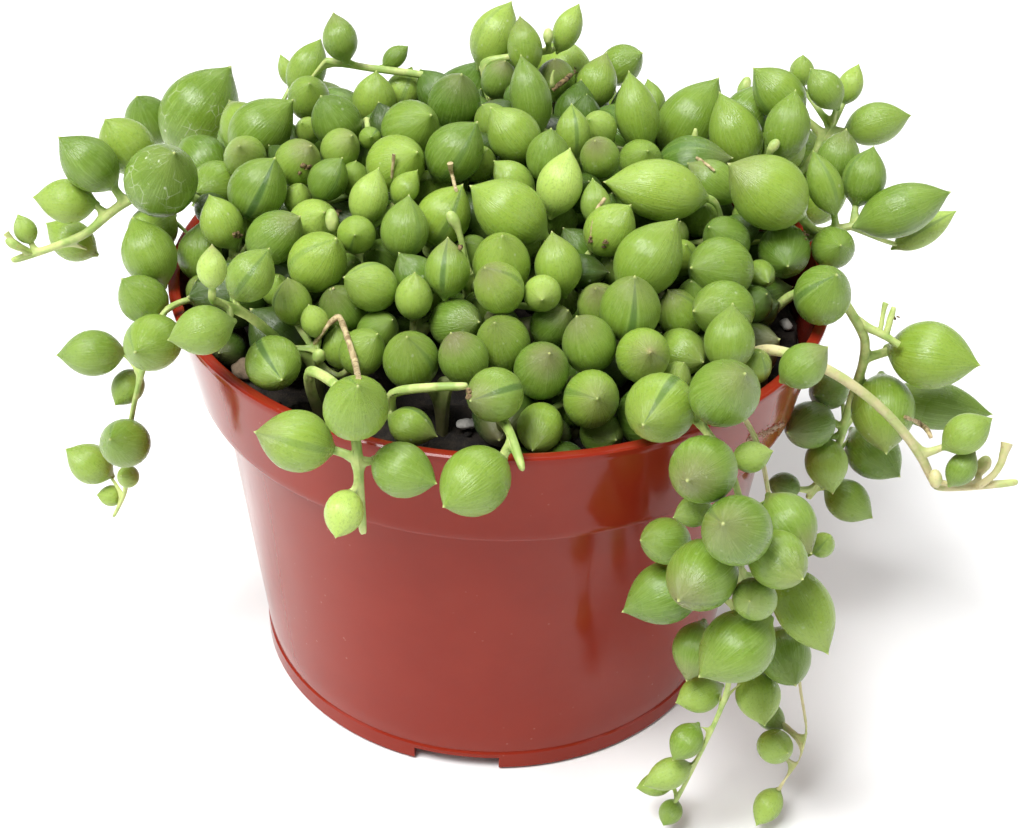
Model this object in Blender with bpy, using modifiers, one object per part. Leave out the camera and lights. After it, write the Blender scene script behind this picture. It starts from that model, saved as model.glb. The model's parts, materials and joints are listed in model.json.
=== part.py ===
"""A potted string of tears: the plastic pot, its potting mix and every leafy stem.

Lengths are in metres and +Z is up. The origin is the middle of the pot's foot, on the ground.
"""

import math

import bmesh
import bpy
import numpy as np
from mathutils import Matrix, Vector

# The pot. Its rim is 108 mm across, the usual size of this kind of nursery pot.
POT_HEIGHT = 0.075
RIM_RADIUS = 0.054
LIP_WIDTH = 0.0020
BAND_HEIGHT = 0.0177
BAND_FOOT_RADIUS = 0.0506
BODY_TOP_RADIUS = 0.0472
BODY_FOOT_RADIUS = 0.0415
WALL = 0.0014
FOOT_HEIGHT = 0.0039
FOOT_RADIUS = 0.0418
FOOT_WALL = 0.0022
FLOOR_THICKNESS = 0.0016
EDGE_ROUND = 0.0004
NOTCH_COUNT = 4
NOTCH_WIDTH = 0.0145
NOTCH_HEIGHT = 0.0026
NOTCH_TURN = math.radians(-97)
DRAIN_COUNT = 4
DRAIN_RADIUS = 0.004
DRAIN_CIRCLE = 0.030
DRAIN_SIDES = 8
TURNED_SIDES = 40

# The potting mix fills the pot to about a centimetre below the rim, with a lumpy top.
SOIL_TOP = 0.0645
SOIL_RINGS = (0.018, 0.034)
SOIL_LUMPS = 0.0008
SOIL_SIDES = 20
SOIL_CLEAR = 4 * SOIL_LUMPS
HEAD_CLEAR = 6 * SOIL_LUMPS
FIT_GAP = 0.0003

# Stems, stalks and the plain holes that the stems stand in.
STEM_RADIUS = 0.00085
STEM_TIP_RADIUS = 0.0005
STALK_RADIUS = 0.00045
STEM_SUNK = 0.007
HOLE_RADIUS = 0.0015
HOLE_SIDES = 5
ROOT_SPACING = 0.0036
SHORT_STEM = 5
ROUTE_STEP = 0.007
ROUND_CORNERS = 3
RIM_CLEAR = 0.0042
RIM_REACH = 0.005
TEST_STEP = 0.0006
# Points of a joined stem that are closer than this are made one, where it stays closed.
WELDS = (0.00004, 0.00002, 0.00001)
TURN_STEP = 0.35
TURN_TRIES = 12
FIRST_TURNS = {"stem_back_fall_3": 0.5}

# A leaf is a tear. Its rings and its nib lie along its length at these shares of its girth, and
# have these shares of its girth as radius.
LEAF_BASE = -0.60
LEAF_RINGS = ((LEAF_BASE, 0.08), (-0.30, 0.42), (0.14, 0.51))
LEAF_NIB = 0.78
LEAF_SIDES = 5
YOUNG_GIRTH = 0.0080
YOUNG_SIDES = 4
# A leaf on a stalk that is shorter than this share of its girth tapers straight into it.
SHORT_STALK = 0.35
STALK_TRIES = 90
NEAREST_STEMS = 8
# Each stalk starts this far from the stem's middle, and each in its own direction.
STALK_SHIFT = 0.00012
GOLDEN_TURN = 2.399963
# The balls that stand for a leaf while the leaves are settled: place and radius, as shares.
LEAF_BALLS = ((-0.30, 0.36), (0.02, 0.52), (0.36, 0.36), (0.62, 0.14))
LEAF_GAP = 0.0004

# How the leaves are settled: how near two leaves, or a leaf and a stem, are looked at, how far of
# their overlap they move in a turn, how much a leaf that is seen may move across its sight line,
# and how strongly each is drawn to its own place until the last turns.
LEAF_REACH = 0.026
LEAF_STEM_REACH = 0.014
LOOK_AGAIN = 10
SETTLE_SHARE = 0.55
ACROSS_SIGHT = 0.22
HOME_PULL = 0.015
SETTLE_TURNS = 260
FREE_TURNS = 60
SHRINK_TURNS = 4

# The mound of leaves is a low dome that leans to the back of the pot.
DOME_FOOT = 0.067
DOME_RISE = 0.026
DOME_HALF_X = 0.085
DOME_HALF_Y = 0.070
DOME_BACK = 0.015
LAYER = 0.0055

# The eye that the leaves are drawn from: places below are pixels of a 1024 x 828 picture.
PICTURE_CENTRE = np.array((512.0, 414.0))
FOCAL_PIXELS = 1762.0
EYE_TARGET = np.array((0.00256, 0.0, 0.04428))
EYE_DISTANCE = 0.3075
EYE_ELEVATION = math.radians(35.6)
EYE_ROLL = math.radians(1.81)
EYE_BACK = np.array((0.0, -math.cos(EYE_ELEVATION), math.sin(EYE_ELEVATION)))
LEVEL_UP = np.cross(EYE_BACK, (1.0, 0.0, 0.0))
EYE_RIGHT = math.cos(EYE_ROLL) * np.array((1.0, 0.0, 0.0)) + math.sin(EYE_ROLL) * LEVEL_UP
EYE_UP = np.cross(EYE_BACK, EYE_RIGHT)
EYE = EYE_TARGET + EYE_DISTANCE * EYE_BACK
SIGHT_RANGE = (0.20, 0.42)
SIGHT_STEP = 0.0005
LEAST_LEAN = 0.02
MOST_LEAN = 0.97

# Trailing stems. Each has the place of its root in the soil, the pixels and the depth (y, in
# millimetres) of the points that it runs through, and its leaves from root to tip. A leaf is the
# pixel of its fattest ring, the pixel of its nib, its girth in pixels, and how many millimetres
# it lies behind its stem.
TRAILS = {
    "stem_far_left": {
        "root": (-0.040, 0.006),
        "route": ((190, 178, 4), (125, 193, 2), (102, 229, 0), (52, 248, 0), (12, 261, 0)),
        "leaves": (
            (161, 180, 170, 152, 68, -7),
            (125, 148, 108, 124, 50, 6),
            (93, 163, 67, 138, 50, 2),
            (68, 201, 36, 198, 42, 2),
            (73, 241, 47, 226, 38, 7),
            (25, 231, 18, 216, 22, 1),
            (13, 243, 3, 237, 11, -1),
        ),
    },
    "stem_left_fall": {
        "root": (-0.041, -0.010),
        "route": (
            (185, 285, -17), (160, 312, -22), (148, 350, -22), (140, 380, -21), (131, 414, -20),
            (126, 462, -19), (124, 488, -18), (131, 503, -18), (113, 518, -18),
        ),
        "leaves": (
            (152, 303, 132, 287, 45, 2),
            (153, 342, 134, 350, 54, -5),
            (94, 353, 59, 354, 45, 3),
            (131, 389, 119, 407, 31, 2),
            (125, 441, 111, 437, 46, -4),
            (91, 464, 68, 451, 37, 4),
            (128, 475, 121, 475, 21, -2),
            (113, 498, 101, 497, 20, 1),
        ),
    },
    "stem_left_front": {
        "root": (-0.030, -0.020),
        "route": ((282, 345, -27), (262, 322, -30), (240, 310, -33), (212, 300, -36)),
        "leaves": (
            (204, 330, 170, 340, 46, -3),
            (212, 269, 212, 245, 30, -3),
            (250, 277, 270, 251, 44, 3),
        ),
    },
    "stem_front_left": {
        "root": (-0.026, -0.034),
        "route": (
            (296, 358, -38), (330, 379, -41), (348, 392, -50), (357, 440, -57),
            (359, 480, -58), (363, 534, -58),
        ),
        "leaves": (
            (356, 408, 359, 386, 62, -6),
            (298, 441, 258, 431, 58, -1),
            (402, 470, 435, 483, 53, -1),
            (348, 509, 341, 532, 37, -2),
        ),
    },
    "stem_front_runner": {
        "root": (-0.014, -0.037),
        "route": ((380, 386, -42), (420, 388, -43), (468, 386, -44)),
        "leaves": ((410, 426, 436, 438, 36, 0),),
    },
    "stem_front": {
        "root": (0.002, -0.038),
        "route": ((497, 412, -47), (507, 423, -51), (517, 450, -58), (523, 470, -59)),
        "leaves": (
            (495, 395, 470, 401, 51, -2),
            (476, 478, 444, 504, 64, 0),
        ),
    },
    "stem_front_right": {
        "root": (0.024, -0.034),
        "route": (
            (680, 400, -42), (705, 430, -51), (728, 455, -55), (742, 490, -57), (742, 560, -58),
            (735, 620, -58), (731, 684, -58), (719, 715, -57), (697, 760, -56), (683, 788, -55),
            (675, 803, -55),
        ),
        "leaves": (
            (660, 419, 644, 436, 65, -6),
            (723, 393, 741, 373, 66, -5),
            (704, 470, 691, 480, 63, -6),
            (751, 457, 772, 452, 30, 2),
            (694, 511, 673, 516, 30, 0),
            (737, 530, 723, 528, 66, -9),
            (666, 541, 639, 541, 44, 5),
            (787, 523, 808, 552, 52, 1),
            (705, 576, 682, 602, 66, -5),
            (777, 560, 799, 577, 54, -5),
            (665, 593, 623, 614, 58, 5),
            (753, 596, 747, 599, 42, -7),
            (822, 545, 829, 536, 23, 6),
            (803, 606, 829, 650, 54, 3),
            (738, 643, 702, 674, 65, -4),
            (784, 655, 794, 681, 50, 5),
            (695, 648, 685, 678, 43, 5),
            (758, 695, 763, 723, 42, 3),
            (701, 694, 676, 704, 34, 4),
            (697, 743, 684, 762, 30, 0),
            (674, 773, 648, 784, 30, -1),
            (657, 784, 636, 788, 22, 3),
            (671, 811, 665, 824, 22, 0),
        ),
    },
    "stem_front_right_tail": {
        "root": (0.029, -0.030),
        "over_rim": -52,
        "route": (
            (760, 447, -48.5), (769, 490, -48), (774, 545, -46), (790, 600, -46), (797, 655, -47.5),
            (799, 690, -50), (808, 722, -52), (808, 748, -52), (797, 766, -52), (783, 773, -52),
            (778, 788, -52),
        ),
        "leaves": (
            (775, 746, 786, 752, 33, 0),
            (770, 717, 783, 727, 25, 4),
            (768, 805, 755, 824, 27, 0),
        ),
    },
    "stem_right_fall": {
        "root": (0.041, -0.008),
        "over_rim": -13,
        "route": (
            (845, 309, -14), (868, 330, -13), (866, 360, -11), (848, 405, -8), (843, 436, -6),
            (828, 470, -5), (808, 498, -5),
        ),
        "leaves": (
            (822, 296, 834, 279, 54, -4),
            (929, 355, 973, 362, 64, -1),
            (878, 408, 880, 449, 60, -4),
            (934, 405, 988, 415, 46, 6),
            (812, 428, 788, 437, 44, -1),
            (829, 391, 812, 396, 36, 7),
            (826, 457, 834, 487, 40, -4),
            (872, 452, 894, 476, 48, 6),
            (847, 500, 872, 516, 38, -1),
            (785, 486, 768, 482, 26, -2),
        ),
    },
    "stem_right_reach": {
        "root": (0.036, -0.021),
        "over_rim": -35,
        "route": (
            (828, 373, -33), (855, 382, -33), (897, 423, -32), (922, 452, -31), (929, 484, -30),
            (946, 496, -30), (979, 488, -30), (998, 471, -30), (1018, 482, -30),
        ),
        "leaves": (
            (803, 366, 826, 350, 42, -6),
            (965, 434, 990, 418, 37, 0),
            (935, 477, 934, 464, 17, -2),
            (961, 469, 975, 450, 28, -2),
            (984, 464, 991, 452, 18, 3),
        ),
    },
    "stem_right_top": {
        "root": (0.041, 0.010),
        "route": ((790, 258, 2), (812, 232, 4), (835, 226, 4), (852, 226, 4)),
        "leaves": (
            (770, 197, 732, 170, 68, -4),
            (825, 186, 813, 152, 33, 0),
            (866, 181, 876, 150, 42, 4),
            (897, 209, 945, 192, 50, 0),
            (922, 231, 954, 212, 28, 6),
            (831, 249, 838, 246, 40, -4),
        ),
    },
    "stem_right_crown": {
        "root": (0.036, 0.017),
        "over_rim": 25,
        "route": ((804, 180, 25), (810, 160, 26), (822, 135, 28), (832, 126, 29)),
        "leaves": (
            (874, 124, 908, 114, 40, 0),
            (826, 90, 812, 68, 32, -3),
            (850, 86, 858, 65, 24, 4),
            (780, 97, 753, 71, 46, 0),
            (802, 72, 804, 57, 24, 5),
            (786, 129, 794, 92, 42, -6),
            (774, 144, 780, 136, 13, -9),
        ),
    },
    "stem_back_left": {
        "root": (-0.020, 0.030),
        "route": (
            (455, 110, 40), (458, 79, 40), (415, 73, 40), (374, 70, 40), (350, 64, 40),
            (326, 60, 41),
        ),
        "leaves": (
            (340, 40, 332, 15, 34, -2),
            (394, 57, 407, 45, 19, 0),
            (309, 74, 322, 42, 36, 2),
            (373, 100, 374, 73, 40, -3),
            (403, 92, 412, 69, 33, 2),
        ),
    },
    "stem_back_middle": {
        "root": (0.000, 0.034),
        "route": ((492, 100, 44), (478, 72, 44), (484, 48, 44), (520, 60, 44), (552, 50, 44)),
        "leaves": (
            (503, 40, 519, 5, 42, 2),
            (526, 48, 522, 17, 34, -3),
            (565, 34, 576, 9, 26, 2),
            (547, 36, 547, 25, 13, -2),
            (499, 80, 504, 62, 34, -4),
        ),
    },
}

# The leaves of the mound: fattest ring, nib and girth in pixels, and how many leaves deep.
MOUND_LEAVES = (
    (198, 114, 231, 69, 72, 0), (255, 133, 286, 102, 57, 0), (150, 122, 139, 100, 44, 1),
    (224, 179, 204, 184, 48, 1), (153, 230, 130, 246, 44, 1), (221, 225, 208, 199, 40, 0),
    (258, 192, 274, 162, 53, 0), (274, 238, 299, 217, 51, 0), (318, 263, 337, 240, 54, 0),
    (315, 222, 326, 209, 48, 1), (298, 165, 312, 147, 43, 0), (342, 153, 353, 139, 38, 0),
    (328, 183, 343, 162, 37, 0), (296, 196, 300, 183, 26, 1), (306, 130, 300, 122, 26, 1),
    (312, 98, 312, 84, 41, 0), (287, 72, 281, 55, 16, 1), (337, 123, 323, 100, 46, 0),
    (371, 138, 372, 137, 21, 0), (408, 130, 426, 115, 54, 0), (456, 104, 464, 80, 49, 0),
    (450, 155, 470, 126, 52, 0), (399, 166, 418, 154, 54, 0), (531, 99, 523, 57, 40, 0),
    (559, 79, 558, 61, 38, 1), (592, 82, 600, 52, 38, 1), (621, 66, 641, 57, 38, 1),
    (510, 140, 487, 113, 48, 0), (491, 122, 481, 106, 34, 1), (547, 159, 551, 132, 42, 0),
    (573, 134, 572, 105, 32, 0), (600, 158, 594, 143, 37, 0), (600, 128, 590, 118, 32, 1),
    (637, 116, 628, 74, 44, 0), (653, 100, 648, 78, 25, 1), (563, 187, 573, 151, 43, 0),
    (594, 206, 590, 180, 29, 0), (511, 217, 471, 190, 60, 0), (482, 160, 491, 146, 34, 1),
    (516, 181, 495, 161, 34, 1), (405, 232, 410, 199, 45, 0), (371, 199, 380, 168, 37, 0),
    (354, 176, 356, 158, 30, 1), (402, 188, 415, 170, 27, 0), (356, 235, 355, 235, 36, 0),
    (331, 219, 330, 202, 17, 0), (446, 222, 463, 191, 50, 1), (453, 219, 446, 207, 15, 0),
    (447, 273, 450, 241, 42, 0), (503, 264, 505, 238, 58, 0), (556, 269, 549, 236, 46, 0),
    (501, 293, 489, 273, 47, 0), (543, 292, 543, 299, 35, 0), (503, 339, 495, 318, 54, 0),
    (541, 370, 547, 353, 53, 0), (591, 344, 578, 317, 51, 0), (551, 325, 567, 310, 40, 1),
    (590, 400, 598, 398, 55, 0), (458, 358, 446, 333, 46, 0), (412, 359, 410, 336, 53, 0),
    (455, 322, 478, 322, 47, 1), (540, 427, 530, 448, 44, 0), (645, 354, 651, 352, 51, 0),
    (630, 312, 637, 282, 56, 0), (604, 303, 603, 287, 42, 1), (638, 263, 667, 223, 63, 0),
    (614, 234, 634, 211, 47, 0), (681, 315, 669, 290, 45, 1), (681, 351, 703, 362, 44, 1),
    (675, 377, 684, 364, 29, 0), (373, 290, 348, 280, 46, 0), (424, 284, 404, 257, 47, 1),
    (413, 298, 415, 274, 36, 0), (344, 310, 333, 292, 44, 1), (315, 322, 310, 306, 27, 0),
    (343, 349, 338, 328, 34, 1), (368, 353, 382, 335, 44, 0), (374, 328, 390, 316, 40, 1),
    (319, 356, 321, 349, 17, 0), (159, 264, 143, 229, 50, 0), (190, 261, 194, 228, 42, 1),
    (276, 290, 280, 276, 28, 1), (292, 303, 288, 279, 38, 0), (196, 301, 190, 290, 33, 1),
    (273, 361, 281, 380, 52, 0), (695, 119, 723, 75, 61, 0), (732, 134, 718, 91, 50, 0),
    (744, 88, 751, 70, 16, 0), (662, 194, 606, 184, 58, 0), (714, 184, 688, 163, 40, 1),
    (785, 247, 790, 262, 50, 1), (727, 240, 711, 226, 44, 1), (717, 273, 685, 271, 60, 0),
    (761, 274, 768, 284, 27, 1), (723, 307, 694, 308, 54, 0), (684, 257, 690, 244, 34, 1),
    (734, 342, 738, 306, 47, 0), (765, 358, 770, 345, 33, 0), (600, 435, 612, 441, 40, 1),
    (672, 234, 680, 222, 30, 1), (240, 160, 236, 150, 40, 1), (520, 240, 530, 228, 40, 2),
    (470, 250, 462, 240, 36, 2), (560, 220, 566, 210, 34, 2), (380, 260, 372, 250, 40, 2),
    (430, 190, 426, 180, 40, 2), (640, 160, 646, 150, 40, 2), (250, 220, 246, 210, 36, 2),
    (620, 270, 612, 262, 40, 2), (700, 215, 706, 205, 40, 2), (750, 215, 756, 205, 34, 2),
    (480, 310, 476, 300, 36, 2), (560, 300, 566, 292, 36, 2), (350, 270, 356, 260, 34, 2),
)

# A dead stalk, bent over, whose two ends rest on the potting mix: pixels and depths.
DRY_STALK = ((358, 374, -19.8), (352, 350, -17), (338, 316, -13), (325, 330, -14), (306, 357, -15.5))
DRY_RADIUS = 0.0005
DRY_STEP = 0.004

# Grit that lies on the potting mix: the pixel of its middle, its length and its turn.
GRIT = {
    "stone_pale": (466, 424, 0.0042, 0.4),
    "stone_grey": (786, 324, 0.0036, 1.9),
    "bark_chip": (246, 369, 0.0075, 2.6),
}
GRIT_SHAPE = (0.5, 0.33, 0.26)

# The stems that fall behind the pot, which nothing shows: the way that each goes round the pot,
# in degrees from +X, the height that its tip hangs at, and its count of leaves.
BACK_FALLS = {
    "stem_back_fall_1": (58, 0.030, 9),
    "stem_back_fall_2": (97, 0.044, 7),
    "stem_back_fall_3": (136, 0.024, 10),
}
BACK_ROOT = 0.040
BACK_STAND_OFF = 0.0075
BACK_SWAY = 0.003
BACK_LEAN = 0.006
BACK_FIRST_GIRTH = 0.0095
BACK_LAST_GIRTH = 0.0050

# The leaves of the mound's back, which nothing shows, lean out over the rim in rows: the row's
# distance from the pot's axis, its height and its count, spread over this arc.
BACK_ARC = (math.radians(22), math.radians(160))
BACK_ROWS = ((0.058, 0.077, 15), (0.053, 0.085, 14), (0.044, 0.091, 9))
BACK_GIRTHS = (0.0075, 0.0105)

# The mound's upper outline in the picture. A leaf of the back that would stand out over it by
# more than the slack, in pixels, doesn't grow.
SKYLINE = np.array((
    (150, 100), (200, 67), (230, 67), (236, 100), (283, 102), (285, 138), (299, 138), (302, 60),
    (320, 45), (332, 60), (334, 84), (347, 90), (352, 76), (373, 72), (390, 78), (408, 70),
    (416, 104), (430, 106), (436, 88), (450, 80), (472, 84), (484, 12), (508, 2), (530, 20),
    (575, 8), (590, 50), (640, 47), (652, 84), (690, 73), (735, 78), (800, 56), (850, 65),
    (870, 105),
), float)
SKYLINE_SLACK = 4.0
# Nor does one that would cover more of a leaf that the picture shows than this share of their reach.
HIDING_SHARE = 0.75
TUFT_COUNT = 24
TUFT_REACH = 0.044
HEAD_SHIFTS = 0.0015 * np.arange(-6, 7)
HEAD_RISES = (0.004, 0.002, 0.0, -0.002, -0.004, -0.007, -0.010)
SEED = 7

GREEN = (0.19, 0.38, 0.07)
POT_RED = (0.33, 0.045, 0.03)
MIX_BROWN = (0.035, 0.026, 0.02)
DRY_BROWN = (0.30, 0.19, 0.10)
GRIT_GREY = (0.35, 0.33, 0.30)


def clear_scene():
    """Remove what the new scene starts with."""
    for thing in list(bpy.data.objects):
        bpy.data.objects.remove(thing)


def new_collection(name):
    """Make a collection in the scene."""
    collection = bpy.data.collections.new(name)
    bpy.context.scene.collection.children.link(collection)
    return collection


def new_material(name, colour, roughness):
    """Make a plain material of one colour."""
    material = bpy.data.materials.new(name)
    material.use_nodes = True
    shader = material.node_tree.nodes["Principled BSDF"]
    shader.inputs["Base Color"].default_value = (*colour, 1.0)
    shader.inputs["Roughness"].default_value = roughness
    shader.inputs["Metallic"].default_value = 0.0
    return material


def add_object(name, mesh, collection, material=None):
    """Link an object with this mesh and give it its material."""
    thing = bpy.data.objects.new(name, mesh)
    collection.objects.link(thing)
    if material:
        thing.data.materials.clear()
        thing.data.materials.append(material)
    return thing


def evaluated_mesh(thing):
    """The object's mesh with its modifiers applied."""
    graph = bpy.context.evaluated_depsgraph_get()
    return bpy.data.meshes.new_from_object(thing.evaluated_get(graph))


def unit(vector):
    """The vector's direction, with length one."""
    return vector / np.linalg.norm(vector)


def turned(name, profile, sides, collection, material):
    """Turn a profile of (radius, height) points round the Z axis."""
    mesh = bpy.data.meshes.new(name)
    points = [(radius, 0.0, height) for radius, height in profile]
    edges = [(i, i + 1) for i in range(len(points) - 1)]
    mesh.from_pydata(points, edges, [])
    thing = add_object(name, mesh, collection, material)
    screw = thing.modifiers.new("Turn", "SCREW")
    screw.steps = sides
    screw.render_steps = sides
    screw.use_merge_vertices = True
    screw.merge_threshold = 0.00001
    return thing


def cut(thing, cutters, name):
    """Cut every object of the cutters' collection out of the object."""
    boolean = thing.modifiers.new(name, "BOOLEAN")
    boolean.operation = "DIFFERENCE"
    boolean.operand_type = "COLLECTION"
    boolean.collection = cutters


def hide_cutters(cutters):
    """Show the cutters as wires only."""
    for cutter in cutters.objects:
        cutter.hide_render = True
        cutter.display_type = "WIRE"


def prism(name, sides, radius, low, high, place, collection):
    """A closed upright prism between two heights, with its axis at (x, y)."""
    mesh = bpy.data.meshes.new(name)
    shape = bmesh.new()
    bmesh.ops.create_cone(shape, cap_ends=True, segments=sides, radius1=radius, radius2=radius,
                          depth=high - low)
    bmesh.ops.translate(shape, verts=shape.verts, vec=(place[0], place[1], (low + high) / 2))
    shape.to_mesh(mesh)
    shape.free()
    return add_object(name, mesh, collection)


def inner_wall():
    """The inside of the pot, from its floor to its rim."""
    band_foot = POT_HEIGHT - BAND_HEIGHT
    floor = FOOT_HEIGHT + FLOOR_THICKNESS
    return [
        (BODY_FOOT_RADIUS - WALL - 4 * EDGE_ROUND, floor),
        (BODY_FOOT_RADIUS - WALL, floor + 4 * EDGE_ROUND),
        (BODY_TOP_RADIUS - WALL, band_foot - WALL),
        (BAND_FOOT_RADIUS - WALL, band_foot + WALL),
        (RIM_RADIUS - LIP_WIDTH, POT_HEIGHT - EDGE_ROUND),
    ]


def make_pot(parts, cutters, material):
    """The pot: a turned wall with a tall band, and notches and drain holes cut out of its foot."""
    band_foot = POT_HEIGHT - BAND_HEIGHT
    outer_wall = [
        (RIM_RADIUS - LIP_WIDTH + EDGE_ROUND, POT_HEIGHT),
        (RIM_RADIUS - EDGE_ROUND, POT_HEIGHT),
        (RIM_RADIUS, POT_HEIGHT - EDGE_ROUND),
        (BAND_FOOT_RADIUS, band_foot),
        (BAND_FOOT_RADIUS - EDGE_ROUND, band_foot - EDGE_ROUND),
        (BODY_TOP_RADIUS, band_foot - 2 * EDGE_ROUND),
        (BODY_FOOT_RADIUS, FOOT_HEIGHT),
        (FOOT_RADIUS, FOOT_HEIGHT - EDGE_ROUND),
        (FOOT_RADIUS, 0.0),
        (FOOT_RADIUS - FOOT_WALL, 0.0),
        (FOOT_RADIUS - FOOT_WALL, FOOT_HEIGHT),
    ]
    floor = FOOT_HEIGHT + FLOOR_THICKNESS
    profile = [(0.0, floor)] + inner_wall() + outer_wall + [(0.0, FOOT_HEIGHT)]
    pot = turned("pot", profile, TURNED_SIDES, parts, material)
    for i in range(NOTCH_COUNT):
        turn = NOTCH_TURN + math.tau * i / NOTCH_COUNT
        mesh = bpy.data.meshes.new("notch")
        shape = bmesh.new()
        bmesh.ops.create_cube(shape, size=1.0)
        bmesh.ops.scale(shape, verts=shape.verts, vec=(4 * FOOT_WALL, NOTCH_WIDTH, 2 * NOTCH_HEIGHT))
        bmesh.ops.translate(shape, verts=shape.verts, vec=(FOOT_RADIUS, 0.0, 0.0))
        shape.to_mesh(mesh)
        shape.free()
        notch = add_object(f"notch_{i + 1}", mesh, cutters)
        notch.rotation_euler = (0.0, 0.0, turn)
    for i in range(DRAIN_COUNT):
        turn = math.tau * (i + 0.5) / DRAIN_COUNT
        place = (DRAIN_CIRCLE * math.cos(turn), DRAIN_CIRCLE * math.sin(turn))
        prism(f"drain_{i + 1}", DRAIN_SIDES, DRAIN_RADIUS, 0.0, 2 * floor, place, cutters)
    cut(pot, cutters, "Notches and drains")
    return pot


def soil_height(x, y):
    """The height of the potting mix: level, with low lumps."""
    lumps = math.sin(310 * x + 1.3) * math.cos(270 * y) + 0.6 * math.sin(520 * y + 190 * x)
    return SOIL_TOP + SOIL_LUMPS * lumps


def make_soil(parts, holes, roots, material):
    """The potting mix: what fills the pot's inside, less a plain hole for each stem."""
    side = []
    for radius, height in inner_wall():
        side.append((radius - FIT_GAP, height + FIT_GAP))
    below_rim = side[-2]
    share = (SOIL_TOP - below_rim[1]) / (side[-1][1] - below_rim[1])
    edge = below_rim[0] + share * (side[-1][0] - below_rim[0])
    top = [(0.0, SOIL_TOP)] + [(radius, SOIL_TOP) for radius in SOIL_RINGS] + [(edge, SOIL_TOP)]
    profile = top + list(reversed(side[:-1])) + [(0.0, side[0][1])]
    soil = turned("soil", profile, SOIL_SIDES, parts, material)
    soil.data = evaluated_mesh(soil)
    soil.modifiers.clear()
    for vertex in soil.data.vertices:
        x, y, z = vertex.co
        if z > SOIL_TOP - FIT_GAP and math.hypot(x, y) < edge - FIT_GAP:
            vertex.co.z = soil_height(x, y)
    for name, (x, y) in roots.items():
        low = SOIL_TOP - STEM_SUNK - FIT_GAP
        prism(f"hole_{name}", HOLE_SIDES, HOLE_RADIUS, low, POT_HEIGHT, (x, y), holes)
    cut(soil, holes, "Stem holes")
    return soil


class Leaf:
    """One leaf: where its middle is, where its nib points, its girth, and what it grows on."""

    def __init__(self, centre, axis, girth, stem=None, stretch=1.0, line=None):
        self.centre = np.array(centre, float)
        self.axis = unit(np.array(axis, float))
        self.girth = girth
        self.stem = stem
        self.stretch = stretch
        self.line = line
        self.stalk = None

    def along(self, share):
        """The point on the leaf's length at a share of its girth from its middle."""
        return self.centre + self.axis * share * self.girth * self.stretch

    def balls(self):
        """The balls that stand for the leaf, as centres and radii."""
        centres = np.array([self.along(share) for share, _ in LEAF_BALLS])
        radii = np.array([radius * self.girth for _, radius in LEAF_BALLS])
        return centres, radii


def sight_line(pixel):
    """The direction from the eye through a pixel."""
    across, down = (np.array(pixel, float) - PICTURE_CENTRE) / FOCAL_PIXELS
    return unit(EYE_RIGHT * across - EYE_UP * down - EYE_BACK)


def at_depth(pixel, depth):
    """The point of a pixel's sight line whose Y is the depth."""
    line = sight_line(pixel)
    return EYE + line * (depth - EYE[1]) / line[1]


def pixel_size(point):
    """The width that one pixel covers at a point."""
    return float((EYE - point) @ EYE_BACK) / FOCAL_PIXELS


def dome_height(x, y):
    """The height of the mound of leaves over a place on the pot."""
    return DOME_FOOT + DOME_RISE * (1 - (x / DOME_HALF_X) ** 2 - ((y - DOME_BACK) / DOME_HALF_Y) ** 2)


def on_dome(pixel):
    """Where a pixel's sight line meets the mound, or passes nearest over it."""
    distances = np.arange(*SIGHT_RANGE, SIGHT_STEP)
    points = EYE + np.outer(distances, sight_line(pixel))
    above = points[:, 2] - dome_height(points[:, 0], points[:, 1])
    meets = np.argmax(above < 0) if (above < 0).any() else np.argmin(above)
    return points[meets]


def seen_leaf(ring, nib, girth_pixels, centre, stem=None):
    """A leaf whose fattest ring, nib and girth are given in pixels.

    A nib that lies nearer to the ring than the leaf is long means that the leaf points at the eye.
    """
    size = pixel_size(centre)
    girth = girth_pixels * size
    reach = (np.array(nib, float) - np.array(ring, float)) * size
    lean = max(np.hypot(*reach) / (LEAF_NIB * girth), LEAST_LEAN)
    share = min(lean, MOST_LEAN)
    across = unit(EYE_RIGHT * reach[0] - EYE_UP * reach[1] + 1e-9 * EYE_UP)
    line = sight_line(ring)
    axis = share * across - math.sqrt(1 - share ** 2) * line
    return Leaf(centre, axis, girth, stem, max(1.0, lean), line)


def smooth_route(points, step):
    """Points at even steps along the given points, with every corner cut round."""
    buried = np.array(points[0], float)
    line = np.array(points[1:], float)
    for _ in range(ROUND_CORNERS):
        early = 0.75 * line[:-1] + 0.25 * line[1:]
        late = 0.25 * line[:-1] + 0.75 * line[1:]
        between = np.stack([early, late], axis=1).reshape(-1, 3)
        line = np.concatenate([line[:1], between, line[-1:]])
    lengths = np.concatenate(([0.0], np.cumsum(np.linalg.norm(np.diff(line, axis=0), axis=1))))
    count = max(int(round(lengths[-1] / step)), 2)
    marks = np.linspace(0.0, lengths[-1], count + 1)
    even = np.stack([np.interp(marks, lengths, line[:, k]) for k in range(3)], axis=1)
    return np.concatenate([[buried], even])


def over_rim(degrees):
    """Two points that carry a stem over the rim, at an angle from +X round the pot."""
    turn = math.radians(degrees)
    height = POT_HEIGHT + RIM_CLEAR
    points = []
    for radius in (RIM_RADIUS - LIP_WIDTH - RIM_REACH, RIM_RADIUS + RIM_REACH):
        points.append((radius * math.cos(turn), radius * math.sin(turn), height))
    return points


def from_soil(x, y):
    """The two points where a stem stands in the soil."""
    return [(x, y, SOIL_TOP - STEM_SUNK), (x, y, SOIL_TOP + 2 * SOIL_LUMPS)]


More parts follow.
